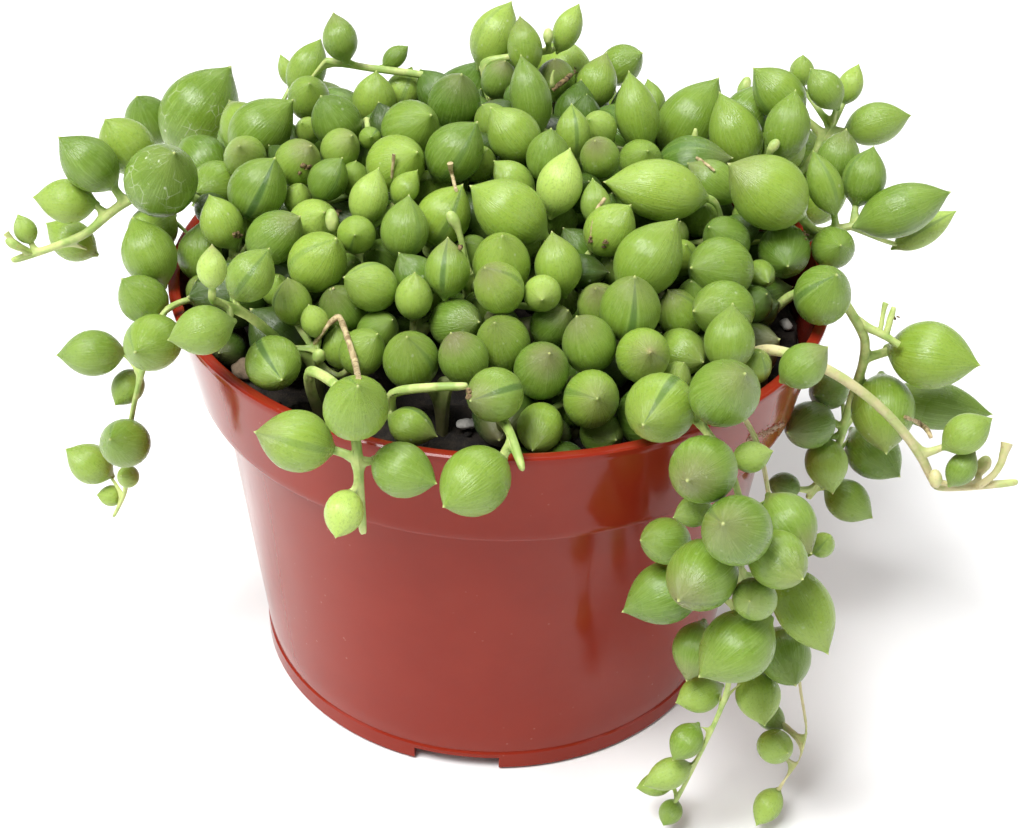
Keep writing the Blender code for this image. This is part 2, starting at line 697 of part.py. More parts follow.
def seen_routes():
    """The line of each trailing stem that the picture shows, from its root to its tip."""
    routes = {}
    for name, trail in TRAILS.items():
        points = from_soil(*trail["root"])
        if "over_rim" in trail:
            points += over_rim(trail["over_rim"])
        for u, v, depth in trail["route"]:
            points.append(at_depth((u, v), depth / 1000))
        routes[name] = points
    return routes


def seen_leaves():
    """Every leaf that the picture shows, at the place where it is seen."""
    leaves = []
    for name, trail in TRAILS.items():
        route = np.array([(u, v) for u, v, _ in trail["route"]], float)
        depths = np.array([depth for _, _, depth in trail["route"]], float) / 1000
        marks = np.linspace(0.0, len(route) - 1.0, 20 * len(route))
        places = np.arange(len(route))
        line_u = np.interp(marks, places, route[:, 0])
        line_v = np.interp(marks, places, route[:, 1])
        line_depth = np.interp(marks, places, depths)
        for u, v, nib_u, nib_v, girth, behind in trail["leaves"]:
            nearest = np.argmin(np.hypot(line_u - u, line_v - v))
            centre = at_depth((u, v), line_depth[nearest] + behind / 1000)
            leaves.append(seen_leaf((u, v), (nib_u, nib_v), girth, centre, name))
    for u, v, nib_u, nib_v, girth, layer in MOUND_LEAVES:
        centre = on_dome((u, v)) + layer * LAYER * sight_line((u, v))
        leaves.append(seen_leaf((u, v), (nib_u, nib_v), girth, centre))
    return leaves


def back_falls(random):
    """The stems that fall behind the pot, and their leaves on alternate sides."""
    routes = {}
    leaves = []
    for name, (degrees, tip_height, count) in BACK_FALLS.items():
        turn = math.radians(degrees)
        out = np.array((math.cos(turn), math.sin(turn), 0.0))
        side = np.array((-math.sin(turn), math.cos(turn), 0.0))
        up = np.array((0.0, 0.0, 1.0))
        root = BACK_ROOT * out
        hang = (RIM_RADIUS + BACK_STAND_OFF) * out
        points = from_soil(root[0], root[1]) + over_rim(degrees)
        drop = POT_HEIGHT - tip_height
        for share in (0.12, 0.4, 0.7, 1.0):
            sway = BACK_SWAY * math.sin(5 * share + turn) * side
            points.append(hang + sway - BACK_LEAN * share * out + up * (POT_HEIGHT - drop * share))
        routes[name] = points
        for i in range(count):
            share = (i + 0.5) / count
            place = hang - BACK_LEAN * share * out + up * (POT_HEIGHT - drop * share)
            girth = BACK_FIRST_GIRTH + share * (BACK_LAST_GIRTH - BACK_FIRST_GIRTH)
            across = side if i % 2 else -side
            lean = random.uniform(0.1, 0.7)
            axis = across + lean * out - random.uniform(0.2, 0.9) * up
            centre = place + unit(axis) * girth
            leaves.append(Leaf(centre, axis, girth, name))
    return routes, leaves


def back_leaves(random):
    """The leaves of the mound's back, in rows that lean out over the rim."""
    leaves = []
    first, last = BACK_ARC
    for row, (distance, height, count) in enumerate(BACK_ROWS):
        for i in range(count):
            share = (i + 0.5 * (row % 2) + random.uniform(0.1, 0.4)) / count
            turn = first + share * (last - first)
            out = np.array((math.cos(turn), math.sin(turn), 0.0))
            side = np.array((-math.sin(turn), math.cos(turn), 0.0))
            girth = random.uniform(*BACK_GIRTHS)
            centre = distance * out
            centre[2] = height + random.uniform(-0.002, 0.002)
            axis = out + random.uniform(-0.8, 0.8) * side
            axis[2] += random.uniform(0.1, 1.0)
            leaves.append(Leaf(centre, axis, girth))
    return leaves


def in_picture(point):
    """The pixel that shows a point, and the point's distance from the eye along the view."""
    away = point - EYE
    depth = -(away @ EYE_BACK)
    pixels = FOCAL_PIXELS / depth
    return PICTURE_CENTRE + pixels * np.array((away @ EYE_RIGHT, -(away @ EYE_UP))), depth


def above_skyline(leaf):
    """Whether a leaf that nothing shows would stand out over the mound's outline."""
    if leaf.line is not None:
        return False
    turns = np.linspace(0.0, 2 * math.pi, 24)
    for centre, radius in zip(*leaf.balls()):
        place, depth = in_picture(centre)
        across = place[0] + radius * np.cos(turns) * FOCAL_PIXELS / depth
        down = place[1] + radius * np.sin(turns) * FOCAL_PIXELS / depth
        if (down < np.interp(across, *SKYLINE.T) - SKYLINE_SLACK).any():
            return True
    return False


def hides_seen(leaf, leaves):
    """Whether a leaf that nothing shows would stand in front of one that the picture shows."""
    if leaf.line is not None:
        return False
    place, depth = in_picture(leaf.centre)
    for other in leaves:
        if other.line is None:
            continue
        other_place, other_depth = in_picture(other.centre)
        reach = HIDING_SHARE * (leaf.girth + other.girth) / 2 * FOCAL_PIXELS / depth
        if depth < other_depth and np.hypot(*(place - other_place)) < reach:
            return True
    return False


def tube_balls(points, radii):
    """Balls along a tube that stand for it, as centres and radii."""
    centres = []
    sizes = []
    for a, b, start, end in zip(points, points[1:], radii, radii[1:]):
        count = max(int(np.linalg.norm(b - a) / TEST_STEP), 1)
        for t in np.arange(count) / count:
            centres.append(a + t * (b - a))
            sizes.append(start + t * (end - start))
    centres.append(points[-1])
    sizes.append(radii[-1])
    return np.array(centres), np.array(sizes)


def stem_radii(count):
    """A stem's radius at each of its points: it tapers to its tip."""
    return np.linspace(STEM_RADIUS, STEM_TIP_RADIUS, count)


def push_from_pot(centres, radii):
    """How far each ball has to move to clear the pot's wall, the soil and the ground."""
    band_foot = POT_HEIGHT - BAND_HEIGHT
    heights = np.array([0.0, band_foot - EDGE_ROUND, band_foot, POT_HEIGHT])
    walls = np.array([FOOT_RADIUS, BODY_TOP_RADIUS, BAND_FOOT_RADIUS, RIM_RADIUS]) - LIP_WIDTH / 2
    around = np.hypot(centres[:, 0], centres[:, 1])
    out = centres[:, :2] / np.maximum(around, 1e-6)[:, None]
    flat = np.stack([around, centres[:, 2]], axis=1)
    push = np.zeros_like(centres)
    nearest = np.full(len(centres), 1.0)
    direction = np.zeros_like(flat)
    for i in range(3):
        a = np.array((walls[i], heights[i]))
        b = np.array((walls[i + 1], heights[i + 1]))
        t = np.clip((flat - a) @ (b - a) / ((b - a) @ (b - a)), 0.0, 1.0)
        away = flat - (a + t[:, None] * (b - a))
        length = np.linalg.norm(away, axis=1)
        closer = length < nearest
        nearest = np.where(closer, length, nearest)
        direction[closer] = away[closer] / np.maximum(length[closer], 1e-6)[:, None]
    deep = np.maximum(radii + LIP_WIDTH / 2 + LEAF_GAP - nearest, 0.0)
    push[:, :2] = out * (direction[:, :1] * deep[:, None])
    push[:, 2] = direction[:, 1] * deep
    inside = around < np.interp(centres[:, 2], heights, walls)
    floor = np.where(inside, SOIL_TOP + 2 * SOIL_LUMPS, 0.0) + LEAF_GAP
    push[:, 2] += np.maximum(floor + radii - centres[:, 2], 0.0)
    return push


def settle(leaves, stems):
    """Move the leaves apart until each is clear of the others, of the stems and of the pot.

    A leaf that the picture shows slides along its sight line more than across it.
    """
    count = len(leaves)
    centres = np.array([leaf.centre for leaf in leaves])
    homes = centres.copy()
    offsets = np.array([leaf.balls()[0] - leaf.centre for leaf in leaves])
    radii = np.array([leaf.balls()[1] for leaf in leaves])
    free = np.zeros((count, 3, 3))
    for i, leaf in enumerate(leaves):
        free[i] = np.eye(3)
        if leaf.line is not None:
            along = np.outer(leaf.line, leaf.line)
            free[i] = ACROSS_SIGHT * np.eye(3) + (1 - ACROSS_SIGHT) * along
    stem_centres = np.concatenate([balls[0] for balls in stems.values()])
    stem_sizes = np.concatenate([balls[1] for balls in stems.values()])
    for turn in range(SETTLE_TURNS):
        if turn % LOOK_AGAIN == 0:
            apart = np.linalg.norm(centres[:, None] - centres[None], axis=2)
            first, second = np.nonzero(np.triu(apart < LEAF_REACH, k=1))
            apart = np.linalg.norm(centres[:, None] - stem_centres[None], axis=2)
            leaf_near, stem_near = np.nonzero(apart < LEAF_STEM_REACH)
        balls = centres[:, None] + offsets
        push = np.zeros_like(centres)
        away = balls[first][:, :, None] - balls[second][:, None]
        length = np.maximum(np.linalg.norm(away, axis=3), 1e-6)
        overlap = radii[first][:, :, None] + radii[second][:, None] + LEAF_GAP - length
        flat = overlap.reshape(len(first), -1)
        worst = np.argmax(flat, axis=1)
        rows = np.arange(len(first))
        deep = np.maximum(flat[rows, worst], 0.0)
        way = (away / length[..., None]).reshape(len(first), -1, 3)[rows, worst]
        step = SETTLE_SHARE * deep[:, None] * way
        np.add.at(push, first, step)
        np.add.at(push, second, -step)
        away = balls[leaf_near] - stem_centres[stem_near][:, None]
        length = np.maximum(np.linalg.norm(away, axis=2), 1e-6)
        overlap = radii[leaf_near] + stem_sizes[stem_near][:, None] + LEAF_GAP - length
        worst = np.argmax(overlap, axis=1)
        rows = np.arange(len(leaf_near))
        deep = np.maximum(overlap[rows, worst], 0.0)
        way = (away / length[..., None])[rows, worst]
        from_stem = np.zeros_like(centres)
        strongest = np.zeros(count)
        for leaf, depth, direction in zip(leaf_near[deep > 0], deep[deep > 0], way[deep > 0]):
            if depth > strongest[leaf]:
                strongest[leaf] = depth
                from_stem[leaf] = depth * direction
        push += from_stem
        moved = np.einsum("nij,nj->ni", free, push)
        if turn < SETTLE_TURNS - FREE_TURNS:
            moved += HOME_PULL * (homes - centres)
        centres = centres + moved
        balls = centres[:, None] + offsets
        pot = push_from_pot(balls.reshape(-1, 3), radii.reshape(-1)).reshape(count, -1, 3)
        strongest = np.argmax(np.linalg.norm(pot, axis=2), axis=1)
        centres = centres + pot[np.arange(count), strongest]
    for leaf, centre in zip(leaves, centres):
        leaf.centre = centre


def shrink_touching(leaves):
    """Make leaves that still touch each other a little smaller."""
    for i, leaf in enumerate(leaves):
        for other in leaves[i + 1:]:
            if np.linalg.norm(leaf.centre - other.centre) > LEAF_REACH:
                continue
            for _ in range(SHRINK_TURNS):
                centres, radii = leaf.balls()
                other_centres, other_radii = other.balls()
                length = np.linalg.norm(centres[:, None] - other_centres[None], axis=2)
                reach = radii[:, None] + other_radii[None]
                keep = ((length - LEAF_GAP) / reach).min()
                if keep >= 1.0:
                    break
                leaf.girth *= max(keep, 0.5)
                other.girth *= max(keep, 0.5)


class Obstacles:
    """Balls that a new stem or stalk has to stay clear of, each with the owner that it belongs to."""

    def __init__(self, leaves, stems):
        centres = []
        radii = []
        owners = []
        for i, leaf in enumerate(leaves):
            places, sizes = leaf.balls()
            centres.append(places)
            radii.append(sizes)
            owners += [f"leaf {i}"] * len(sizes)
        for name, (places, sizes) in stems.items():
            centres.append(places)
            radii.append(sizes)
            owners += [name] * len(sizes)
        self.centres = np.concatenate(centres)
        self.radii = np.concatenate(radii)
        self.owners = np.array(owners)

    def add(self, balls, owner):
        """Add a tube's balls."""
        self.centres = np.concatenate([self.centres, balls[0]])
        self.radii = np.concatenate([self.radii, balls[1]])
        self.owners = np.concatenate([self.owners, np.array([owner] * len(balls[1]))])

    def room(self, balls, skip):
        """The least gap between a tube's balls and everything that isn't skipped."""
        places, sizes = balls
        if np.abs(push_from_pot(places, sizes)).max() > 0:
            return -1.0
        keep = ~np.isin(self.owners, list(skip))
        middle = places.mean(axis=0)
        reach = np.linalg.norm(places - middle, axis=1).max() + 0.010
        keep &= np.linalg.norm(self.centres - middle, axis=1) < reach
        if not keep.any():
            return 1.0
        length = np.linalg.norm(places[:, None] - self.centres[keep][None], axis=2)
        return float((length - sizes[:, None] - self.radii[keep][None]).min())


def group_leaves(leaves, count):
    """Share the mound's leaves out between tufts, by the places of their bases."""
    loose = [i for i, leaf in enumerate(leaves) if leaf.stem is None]
    bases = np.array([leaves[i].along(LEAF_BASE) for i in loose])
    middles = bases[np.linspace(0, len(loose) - 1, count).astype(int)]
    for _ in range(40):
        nearest = np.argmin(np.linalg.norm(bases[:, None] - middles[None], axis=2), axis=1)
        for k in range(count):
            if (nearest == k).any():
                middles[k] = bases[nearest == k].mean(axis=0)
    groups = {}
    for k in range(count):
        groups[f"tuft_{k + 1:02d}"] = [i for i, group in zip(loose, nearest) if group == k]
    return {name: group for name, group in groups.items() if group}


def tuft_route(root, head):
    """A tuft's stem: up out of the soil and, past the rim, over it to its head."""
    x, y = root
    points = [np.array(point) for point in from_soil(x, y)]
    if math.hypot(head[0] - x, head[1] - y) > STEM_RADIUS:
        points.append(np.array((x, y, POT_HEIGHT + RIM_CLEAR)))
    points.append(np.array(head))
    return points


def find_tuft_stem(leaves, group, obstacles, roots):
    """The stem of a tuft that stands clear and comes nearest to the bases of its leaves."""
    bases = np.array([leaves[i].along(LEAF_BASE) for i in group])
    middle = bases.mean(axis=0)
    best = None
    for dx in HEAD_SHIFTS:
        for dy in HEAD_SHIFTS:
            for dz in HEAD_RISES:
                head = middle + np.array((dx, dy, dz))
                if head[2] < SOIL_TOP + HEAD_CLEAR:
                    continue
                around = math.hypot(head[0], head[1])
                shrink = min(1.0, TUFT_REACH / around)
                root = (head[0] * shrink, head[1] * shrink)
                cost = np.linalg.norm(bases - head, axis=1).sum() / len(group)
                if best and cost >= best[0]:
                    continue
                spaces = [math.hypot(root[0] - x, root[1] - y) for x, y in roots.values()]
                if min(spaces) < ROOT_SPACING:
                    continue
                if around > TUFT_REACH and head[2] < POT_HEIGHT + RIM_CLEAR:
                    continue
                points = tuft_route(root, head)
                balls = tube_balls(points, [STEM_RADIUS] * len(points))
                above = balls[0][:, 2] > SOIL_TOP + SOIL_CLEAR
                if obstacles.room((balls[0][above], balls[1][above]), ()) > FIT_GAP:
                    best = (cost, root, points, balls)
    return best


def stalk_bends(leaf, start, base):
    """Ways for a stalk to reach a leaf's base: straight, from behind, and round to each side."""
    length = np.linalg.norm(base - start)
    yield [start, base]
    for share in (0.3, 0.6):
        yield [start, base - leaf.axis * share * length, base]
    across = unit(np.cross(leaf.axis, (0.0, 0.3, 1.0)))
    beside = np.cross(leaf.axis, across)
    for turn in np.arange(6) * math.tau / 6:
        aside = math.cos(turn) * across + math.sin(turn) * beside
        yield [start, base - leaf.axis * 0.3 * length + aside * 0.35 * length, base]


def find_stalk(leaf, index, stem_points, name, obstacles):
    """The stalk from a stem to a leaf that is the shortest of those that stand clear."""
    base = leaf.along(LEAF_BASE)
    behind = base - leaf.axis * 0.25 * leaf.girth
    order = np.argsort(np.linalg.norm(stem_points - behind, axis=1))
    for k in order[:STALK_TRIES:3]:
        start = stem_points[k]
        for points in stalk_bends(leaf, start, base):
            balls = tube_balls(points, [STALK_RADIUS] * len(points))
            outside = np.linalg.norm(balls[0] - start, axis=1) > STEM_RADIUS
            if not outside.any():
                continue
            balls = (balls[0][outside], balls[1][outside])
            if obstacles.room(balls, (f"leaf {index}", name)) > FIT_GAP:
                return points, balls
    return None


def grow_stalks(leaves, groups, stems, obstacles):
    """Give every leaf a stalk from its own stem, or from the nearest stem that it can reach.

    A leaf that no stem can reach keeps none, and isn't made.
    """
    lines = {}
    for name, (places, _) in stems.items():
        around = np.hypot(places[:, 0], places[:, 1])
        lines[name] = places[(places[:, 2] > SOIL_TOP + SOIL_CLEAR) | (around > RIM_RADIUS)]
    for i, leaf in enumerate(leaves):
        if leaf.stem is None:
            leaf.stem = next((name for name, group in groups.items() if i in group), None)
    for i, leaf in enumerate(leaves):
        base = leaf.along(LEAF_BASE)
        near = sorted(lines, key=lambda name: np.linalg.norm(lines[name] - base, axis=1).min())
        choices = ([leaf.stem] if leaf.stem in lines else []) + near[:NEAREST_STEMS]
        for name in choices:
            found = find_stalk(leaf, i, lines[name], name, obstacles)
            if found:
                leaf.stem = name
                leaf.stalk, balls = found
                obstacles.add(balls, name)
                break


def leaf_mesh(leaf, turn):
    """A leaf and its stalk: one loft from the stem's middle through the leaf's rings to the nib."""
    sides = YOUNG_SIDES if leaf.girth < YOUNG_GIRTH else LEAF_SIDES
    shift = STALK_SHIFT * np.array((math.cos(turn), math.sin(turn), math.cos(3 * turn)))
    stalk = [leaf.stalk[0] + shift] + leaf.stalk[1:]
    sections = []
    for point, following in zip(stalk, stalk[1:]):
        sections.append((point, unit(following - point), STALK_RADIUS))
    short = np.linalg.norm(stalk[-1] - stalk[0]) < SHORT_STALK * leaf.girth
    for share, radius in LEAF_RINGS[1:] if short else LEAF_RINGS:
        sections.append((leaf.along(share), leaf.axis, max(radius * leaf.girth, STALK_RADIUS)))
    shape = bmesh.new()
    rings = []
    across = Vector((math.cos(turn), math.sin(turn), math.sin(2 * turn)))
    for centre, axis, radius in sections:
        axis = Vector(axis)
        across = (across - axis * across.dot(axis)).normalized()
        beside = axis.cross(across)
        ring = []
        for i in range(sides):
            angle = math.tau * i / sides
            way = math.cos(angle) * across + math.sin(angle) * beside
            ring.append(shape.verts.new(Vector(centre) + way * float(radius)))
        rings.append(ring)
    shape.faces.new(list(reversed(rings[0])))
    for ring, following in zip(rings, rings[1:]):
        for i in range(sides):
            j = (i + 1) % sides
            shape.faces.new((ring[i], ring[j], following[j], following[i]))
    nib = shape.verts.new(Vector(leaf.along(LEAF_NIB)))
    for i in range(sides):
        shape.faces.new((rings[-1][i], rings[-1][(i + 1) % sides], nib))
    mesh = bpy.data.meshes.new("leaf")
    shape.to_mesh(mesh)
    shape.free()
    return mesh


def stem_mesh(name, points, radii):
    """A stem: a tube along its points, with closed ends. A short one has fewer sides."""
    curve = bpy.data.curves.new(name, "CURVE")
    curve.dimensions = "3D"
    curve.bevel_depth = 1.0
    curve.bevel_resolution = 1 if len(points) > SHORT_STEM else 0
    curve.use_fill_caps = True
    spline = curve.splines.new("POLY")
    spline.points.add(len(points) - 1)
    for point, place, radius in zip(spline.points, points, radii):
        point.co = (*place, 1.0)
        point.radius = radius
    guide = bpy.data.objects.new(name, curve)
    bpy.context.scene.collection.objects.link(guide)
    mesh = evaluated_mesh(guide)
    bpy.data.objects.remove(guide)
    shape = bmesh.new()
    shape.from_mesh(mesh)
    bmesh.ops.remove_doubles(shape, verts=shape.verts, dist=0.00001)
    shape.to_mesh(mesh)
    shape.free()
    return mesh


def outer_shell(mesh, weld):
    """The mesh's largest shell, with points closer than the weld made one, or None if it's open.

    Leaving out the other shells fills sealed hollows and drops scraps.
    """
    shape = bmesh.new()
    shape.from_mesh(mesh)
    if weld:
        bmesh.ops.remove_doubles(shape, verts=shape.verts, dist=weld)
    left = set(shape.faces)
    shells = []
    while left:
        front = [left.pop()]
        shell = list(front)
        while front:
            sides = [edge for edge in front.pop().edges if len(edge.link_faces) == 2]
            near = {face for edge in sides for face in edge.link_faces} & left
            left -= near
            front += near
            shell += near
        shells.append(shell)
    shells.sort(key=len)
    spare = [face for shell in shells[:-1] for face in shell]
    bmesh.ops.delete(shape, geom=spare, context="FACES")
    closed = all(len(edge.link_faces) == 2 for edge in shape.edges)
    bmesh.ops.triangulate(shape, faces=shape.faces, quad_method="BEAUTY", ngon_method="BEAUTY")
    closed = closed and all(len(edge.link_faces) == 2 for edge in shape.edges)
    shell = bpy.data.meshes.new(mesh.name)
    shape.to_mesh(shell)
    shape.free()
    return shell if closed else None


def make_grit(name, pixel, length, turn, parts, material):
    """A stone or chip that lies on the soil where a pixel's sight line meets it."""
    line = sight_line(pixel)
    height = SOIL_TOP + SOIL_LUMPS + FIT_GAP + GRIT_SHAPE[2] * length
    place = EYE + line * (height - EYE[2]) / line[2]
    mesh = bpy.data.meshes.new(name)
    shape = bmesh.new()
    bmesh.ops.create_icosphere(shape, subdivisions=1, radius=1.0)
    bmesh.ops.scale(shape, verts=shape.verts, vec=[length * share for share in GRIT_SHAPE])
    bmesh.ops.rotate(shape, verts=shape.verts, matrix=Matrix.Rotation(turn, 3, "Z"))
    bmesh.ops.translate(shape, verts=shape.verts, vec=place)
    shape.to_mesh(mesh)
    shape.free()
    return add_object(name, mesh, parts, material)


def union(stem, leaves, turns):
    """The stem united with its stalks and leaves, each loft turned by its own angle, or None.

    It's None where two stalks cross so closely that the joined surface isn't closed.
    """
    grown = new_collection(f"leaves of {stem.name}")
    for leaf, turn in zip(leaves, turns):
        add_object("leaf", leaf_mesh(leaf, turn), grown)
    join = stem.modifiers.new("Leaves", "BOOLEAN")
    join.operation = "UNION"
    join.operand_type = "COLLECTION"
    join.collection = grown
    join.solver = "MANIFOLD"
    joined = evaluated_mesh(stem)
    stem.modifiers.clear()
    for thing in list(grown.objects):
        bpy.data.objects.remove(thing)
    bpy.data.collections.remove(grown)
    shells = (outer_shell(joined, weld) for weld in WELDS)
    return next((shell for shell in shells if shell), None)


def make_leafy_stem(name, points, radii, leaves, parts, material):
    """A stem with its stalks and leaves, joined into one body.

    Where they don't all join at once, they are joined one by one, and a loft that still fails is
    turned on until it joins.
    """
    stem = add_object(name, stem_mesh(name, points, radii), parts, material)
    first = FIRST_TURNS.get(name, 0.0)
    turns = [first + GOLDEN_TURN * i for i in range(len(leaves))]
    whole = union(stem, leaves, turns)
    if whole:
        stem.data = whole
    else:
        for leaf, turn in zip(leaves, turns):
            tries = (union(stem, [leaf], [turn + step * TURN_STEP]) for step in range(TURN_TRIES))
            stem.data = next((shell for shell in tries if shell), stem.data)
    stem.data.materials.clear()
    stem.data.materials.append(material)
    return stem


def main():
    """Build the potted plant."""
    clear_scene()
    parts = new_collection("potted_string_of_tears")
    pot_cutters = new_collection("pot cutters")
    soil_cutters = new_collection("soil cutters")
    random = np.random.default_rng(SEED)
    make_pot(parts, pot_cutters, new_material("red plastic", POT_RED, 0.25))
    routes = seen_routes()
    leaves = seen_leaves()
    fall_routes, fall_leaves = back_falls(random)
    routes.update(fall_routes)
    leaves += fall_leaves + back_leaves(random)
    lines = {name: smooth_route(points, ROUTE_STEP) for name, points in routes.items()}
    widths = {name: stem_radii(len(line)) for name, line in lines.items()}
    stems = {name: tube_balls(lines[name], widths[name]) for name in lines}
    dry_line = smooth_route([at_depth((u, v), depth / 1000) for u, v, depth in DRY_STALK], DRY_STEP)
    dry = {"dry_stalk": tube_balls(dry_line, [DRY_RADIUS] * len(dry_line))}
    settle(leaves, stems | dry)
    shrink_touching(leaves)
    obstacles = Obstacles(leaves, stems | dry)
    roots = {name: (line[0][0], line[0][1]) for name, line in lines.items()}
    groups = group_leaves(leaves, TUFT_COUNT)
    for name, group in groups.items():
        found = find_tuft_stem(leaves, group, obstacles, roots)
        if found:
            _, roots[name], lines[name], stems[name] = found
            widths[name] = np.full(len(lines[name]), STEM_RADIUS)
            obstacles.add(stems[name], name)
    grow_stalks(leaves, groups, stems, obstacles)
    green = new_material("leaf green", GREEN, 0.4)
    leaves = [
        leaf for leaf in leaves
        if leaf.stalk and not above_skyline(leaf) and not hides_seen(leaf, leaves)
    ]
    for name, line in lines.items():
        grown = [leaf for leaf in leaves if leaf.stem == name]
        if grown:
            make_leafy_stem(name, line, widths[name], grown, parts, green)
    make_soil(parts, soil_cutters, roots, new_material("potting mix", MIX_BROWN, 0.95))
    dry_mesh = stem_mesh("dry_stalk", dry_line, [DRY_RADIUS] * len(dry_line))
    add_object("dry_stalk", dry_mesh, parts, new_material("dry stalk", DRY_BROWN, 0.9))
    stone = new_material("grit", GRIT_GREY, 0.9)
    for name, (u, v, length, turn) in GRIT.items():
        make_grit(name, (u, v), length, turn, parts, stone)
    hide_cutters(pot_cutters)
    hide_cutters(soil_cutters)


main()
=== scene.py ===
# %% [markdown]
# # A potted string of tears
#
# This lesson dresses a trailing succulent in a plastic nursery pot. The real plant has a few
# hundred plump leaves, each a tear with a small pointed tip, on thin green stems that spill over
# the rim. The frame that we load holds plain, faceted solids of the pot, the potting mix and every
# leafy stem. We read each leaf's place, direction and size from those solids and put a smooth one
# there, so nothing has to be placed twice. All lengths are in metres, and +Z is up.

# %% Load the frame
import json
import math
import random

import bmesh
import bpy
import numpy as np
from mathutils import Matrix, Vector, noise

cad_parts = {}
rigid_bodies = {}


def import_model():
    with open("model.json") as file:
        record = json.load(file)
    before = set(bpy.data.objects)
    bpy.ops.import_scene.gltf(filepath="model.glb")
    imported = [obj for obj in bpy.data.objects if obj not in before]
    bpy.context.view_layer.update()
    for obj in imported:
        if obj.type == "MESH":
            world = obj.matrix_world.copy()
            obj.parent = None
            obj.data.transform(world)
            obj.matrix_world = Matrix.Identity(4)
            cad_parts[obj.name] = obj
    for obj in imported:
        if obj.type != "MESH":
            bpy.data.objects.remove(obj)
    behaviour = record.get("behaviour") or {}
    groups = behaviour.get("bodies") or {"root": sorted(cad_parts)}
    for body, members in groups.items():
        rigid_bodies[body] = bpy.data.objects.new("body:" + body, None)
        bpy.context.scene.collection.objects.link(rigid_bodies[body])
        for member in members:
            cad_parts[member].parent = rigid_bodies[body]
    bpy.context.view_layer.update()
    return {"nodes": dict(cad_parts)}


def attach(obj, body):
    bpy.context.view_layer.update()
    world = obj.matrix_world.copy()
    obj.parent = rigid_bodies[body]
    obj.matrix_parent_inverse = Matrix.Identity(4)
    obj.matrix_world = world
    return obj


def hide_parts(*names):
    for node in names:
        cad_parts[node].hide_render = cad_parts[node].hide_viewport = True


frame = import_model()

nodes = frame["nodes"]
for thing in list(bpy.data.objects):
    if thing.type in {"CAMERA", "LIGHT"} or (thing.type == "MESH" and thing.name not in nodes):
        bpy.data.objects.remove(thing)


def in_short(point):
    """A point's numbers, rounded for printing."""
    return [round(x, 3) for x in point]


def clamped(value):
    """A value kept between 0 and 1."""
    return min(max(value, 0.0), 1.0)


def on_circle(radius, turn):
    """The x and y of a point on a circle round the pot's axis."""
    return radius * math.cos(turn), radius * math.sin(turn)


def in_scene(name, data):
    """A new object with this data, put in the scene."""
    thing = bpy.data.objects.new(name, data)
    bpy.context.scene.collection.objects.link(thing)
    return thing


# %% [markdown]
# ## The camera
#
# The picture looks down on the pot from 31 cm, at about 36 degrees above the table, and it is
# turned a little, so the pot seems to lean to the left. A camera is three directions and a place.
# We build its right, up and back directions and hand them over as a matrix, because that keeps
# the small roll exact.

# %% Set the camera
EYE_HEIGHT_ANGLE = math.radians(35.6)
EYE_ROLL = math.radians(1.81)
EYE_DISTANCE = 0.3075
EYE_TARGET = Vector((0.00256, 0.0, 0.04428))
PICTURE_WIDTH, PICTURE_HEIGHT = 1024, 828
LENS = 61.95
SENSOR = 36.0
LENS_PIXELS = LENS / SENSOR * PICTURE_WIDTH

eye_back = Vector((0.0, -math.cos(EYE_HEIGHT_ANGLE), math.sin(EYE_HEIGHT_ANGLE)))
level_right = Vector((1.0, 0.0, 0.0))
level_up = eye_back.cross(level_right)
eye_right = math.cos(EYE_ROLL) * level_right + math.sin(EYE_ROLL) * level_up
eye_up = eye_back.cross(eye_right)
eye = EYE_TARGET + EYE_DISTANCE * eye_back

camera_data = bpy.data.cameras.new("picture camera")
camera_data.lens = LENS
camera_data.sensor_width = SENSOR
camera_data.clip_start = 0.01
camera = in_scene("picture camera", camera_data)
camera.matrix_world = Matrix.Translation(eye) @ Matrix((eye_right, eye_up, eye_back)).transposed().to_4x4()
bpy.context.scene.camera = camera
bpy.context.scene.view_settings.view_transform = "Standard"
print("camera at", in_short(eye))


def picture_place(point):
    """Where a point is seen, in pixels from the picture's top left corner."""
    away = Vector(point) - eye
    depth = -away.dot(eye_back)
    pixels = LENS_PIXELS / depth
    return PICTURE_WIDTH / 2 + away.dot(eye_right) * pixels, PICTURE_HEIGHT / 2 - away.dot(eye_up) * pixels


# %% [markdown]
# ## Table, walls and light
#
# The picture is a studio shot on white. A pale floor, a white surround and four soft lights give
# it. The key light is high at the left. A low one at the left makes the long pale reflection on
# the pot's side, a weak one at the right keeps the shadows green, and one from behind rims the
# leaves. The surround is white to the camera, and dimmer as a light, so the leaves keep contrast.

# %% Floor and lights
bpy.ops.object.select_all(action="DESELECT")
bpy.ops.mesh.primitive_plane_add(size=2.0, location=(0.0, 0.0, -0.0002))
floor = bpy.context.object
floor.name = "floor"
paper = bpy.data.materials.new("pale paper")
paper.use_nodes = True
paper.node_tree.nodes["Principled BSDF"].inputs["Base Color"].default_value = (0.90, 0.90, 0.90, 1.0)
paper.node_tree.nodes["Principled BSDF"].inputs["Roughness"].default_value = 0.9
floor.data.materials.append(paper)

world = bpy.data.worlds.new("white surround")
world.use_nodes = True
world.node_tree.nodes["Background"].inputs["Color"].default_value = (1.0, 1.0, 1.0, 1.0)
surround = world.node_tree.nodes["Background"].inputs["Strength"]
seen_directly = world.node_tree.nodes.new("ShaderNodeLightPath")
surround_light = world.node_tree.nodes.new("ShaderNodeMapRange")
surround_light.inputs["To Min"].default_value = 0.27
surround_light.inputs["To Max"].default_value = 1.0
world.node_tree.links.new(seen_directly.outputs["Is Camera Ray"], surround_light.inputs["Value"])
world.node_tree.links.new(surround_light.outputs["Result"], surround)
bpy.context.scene.world = world


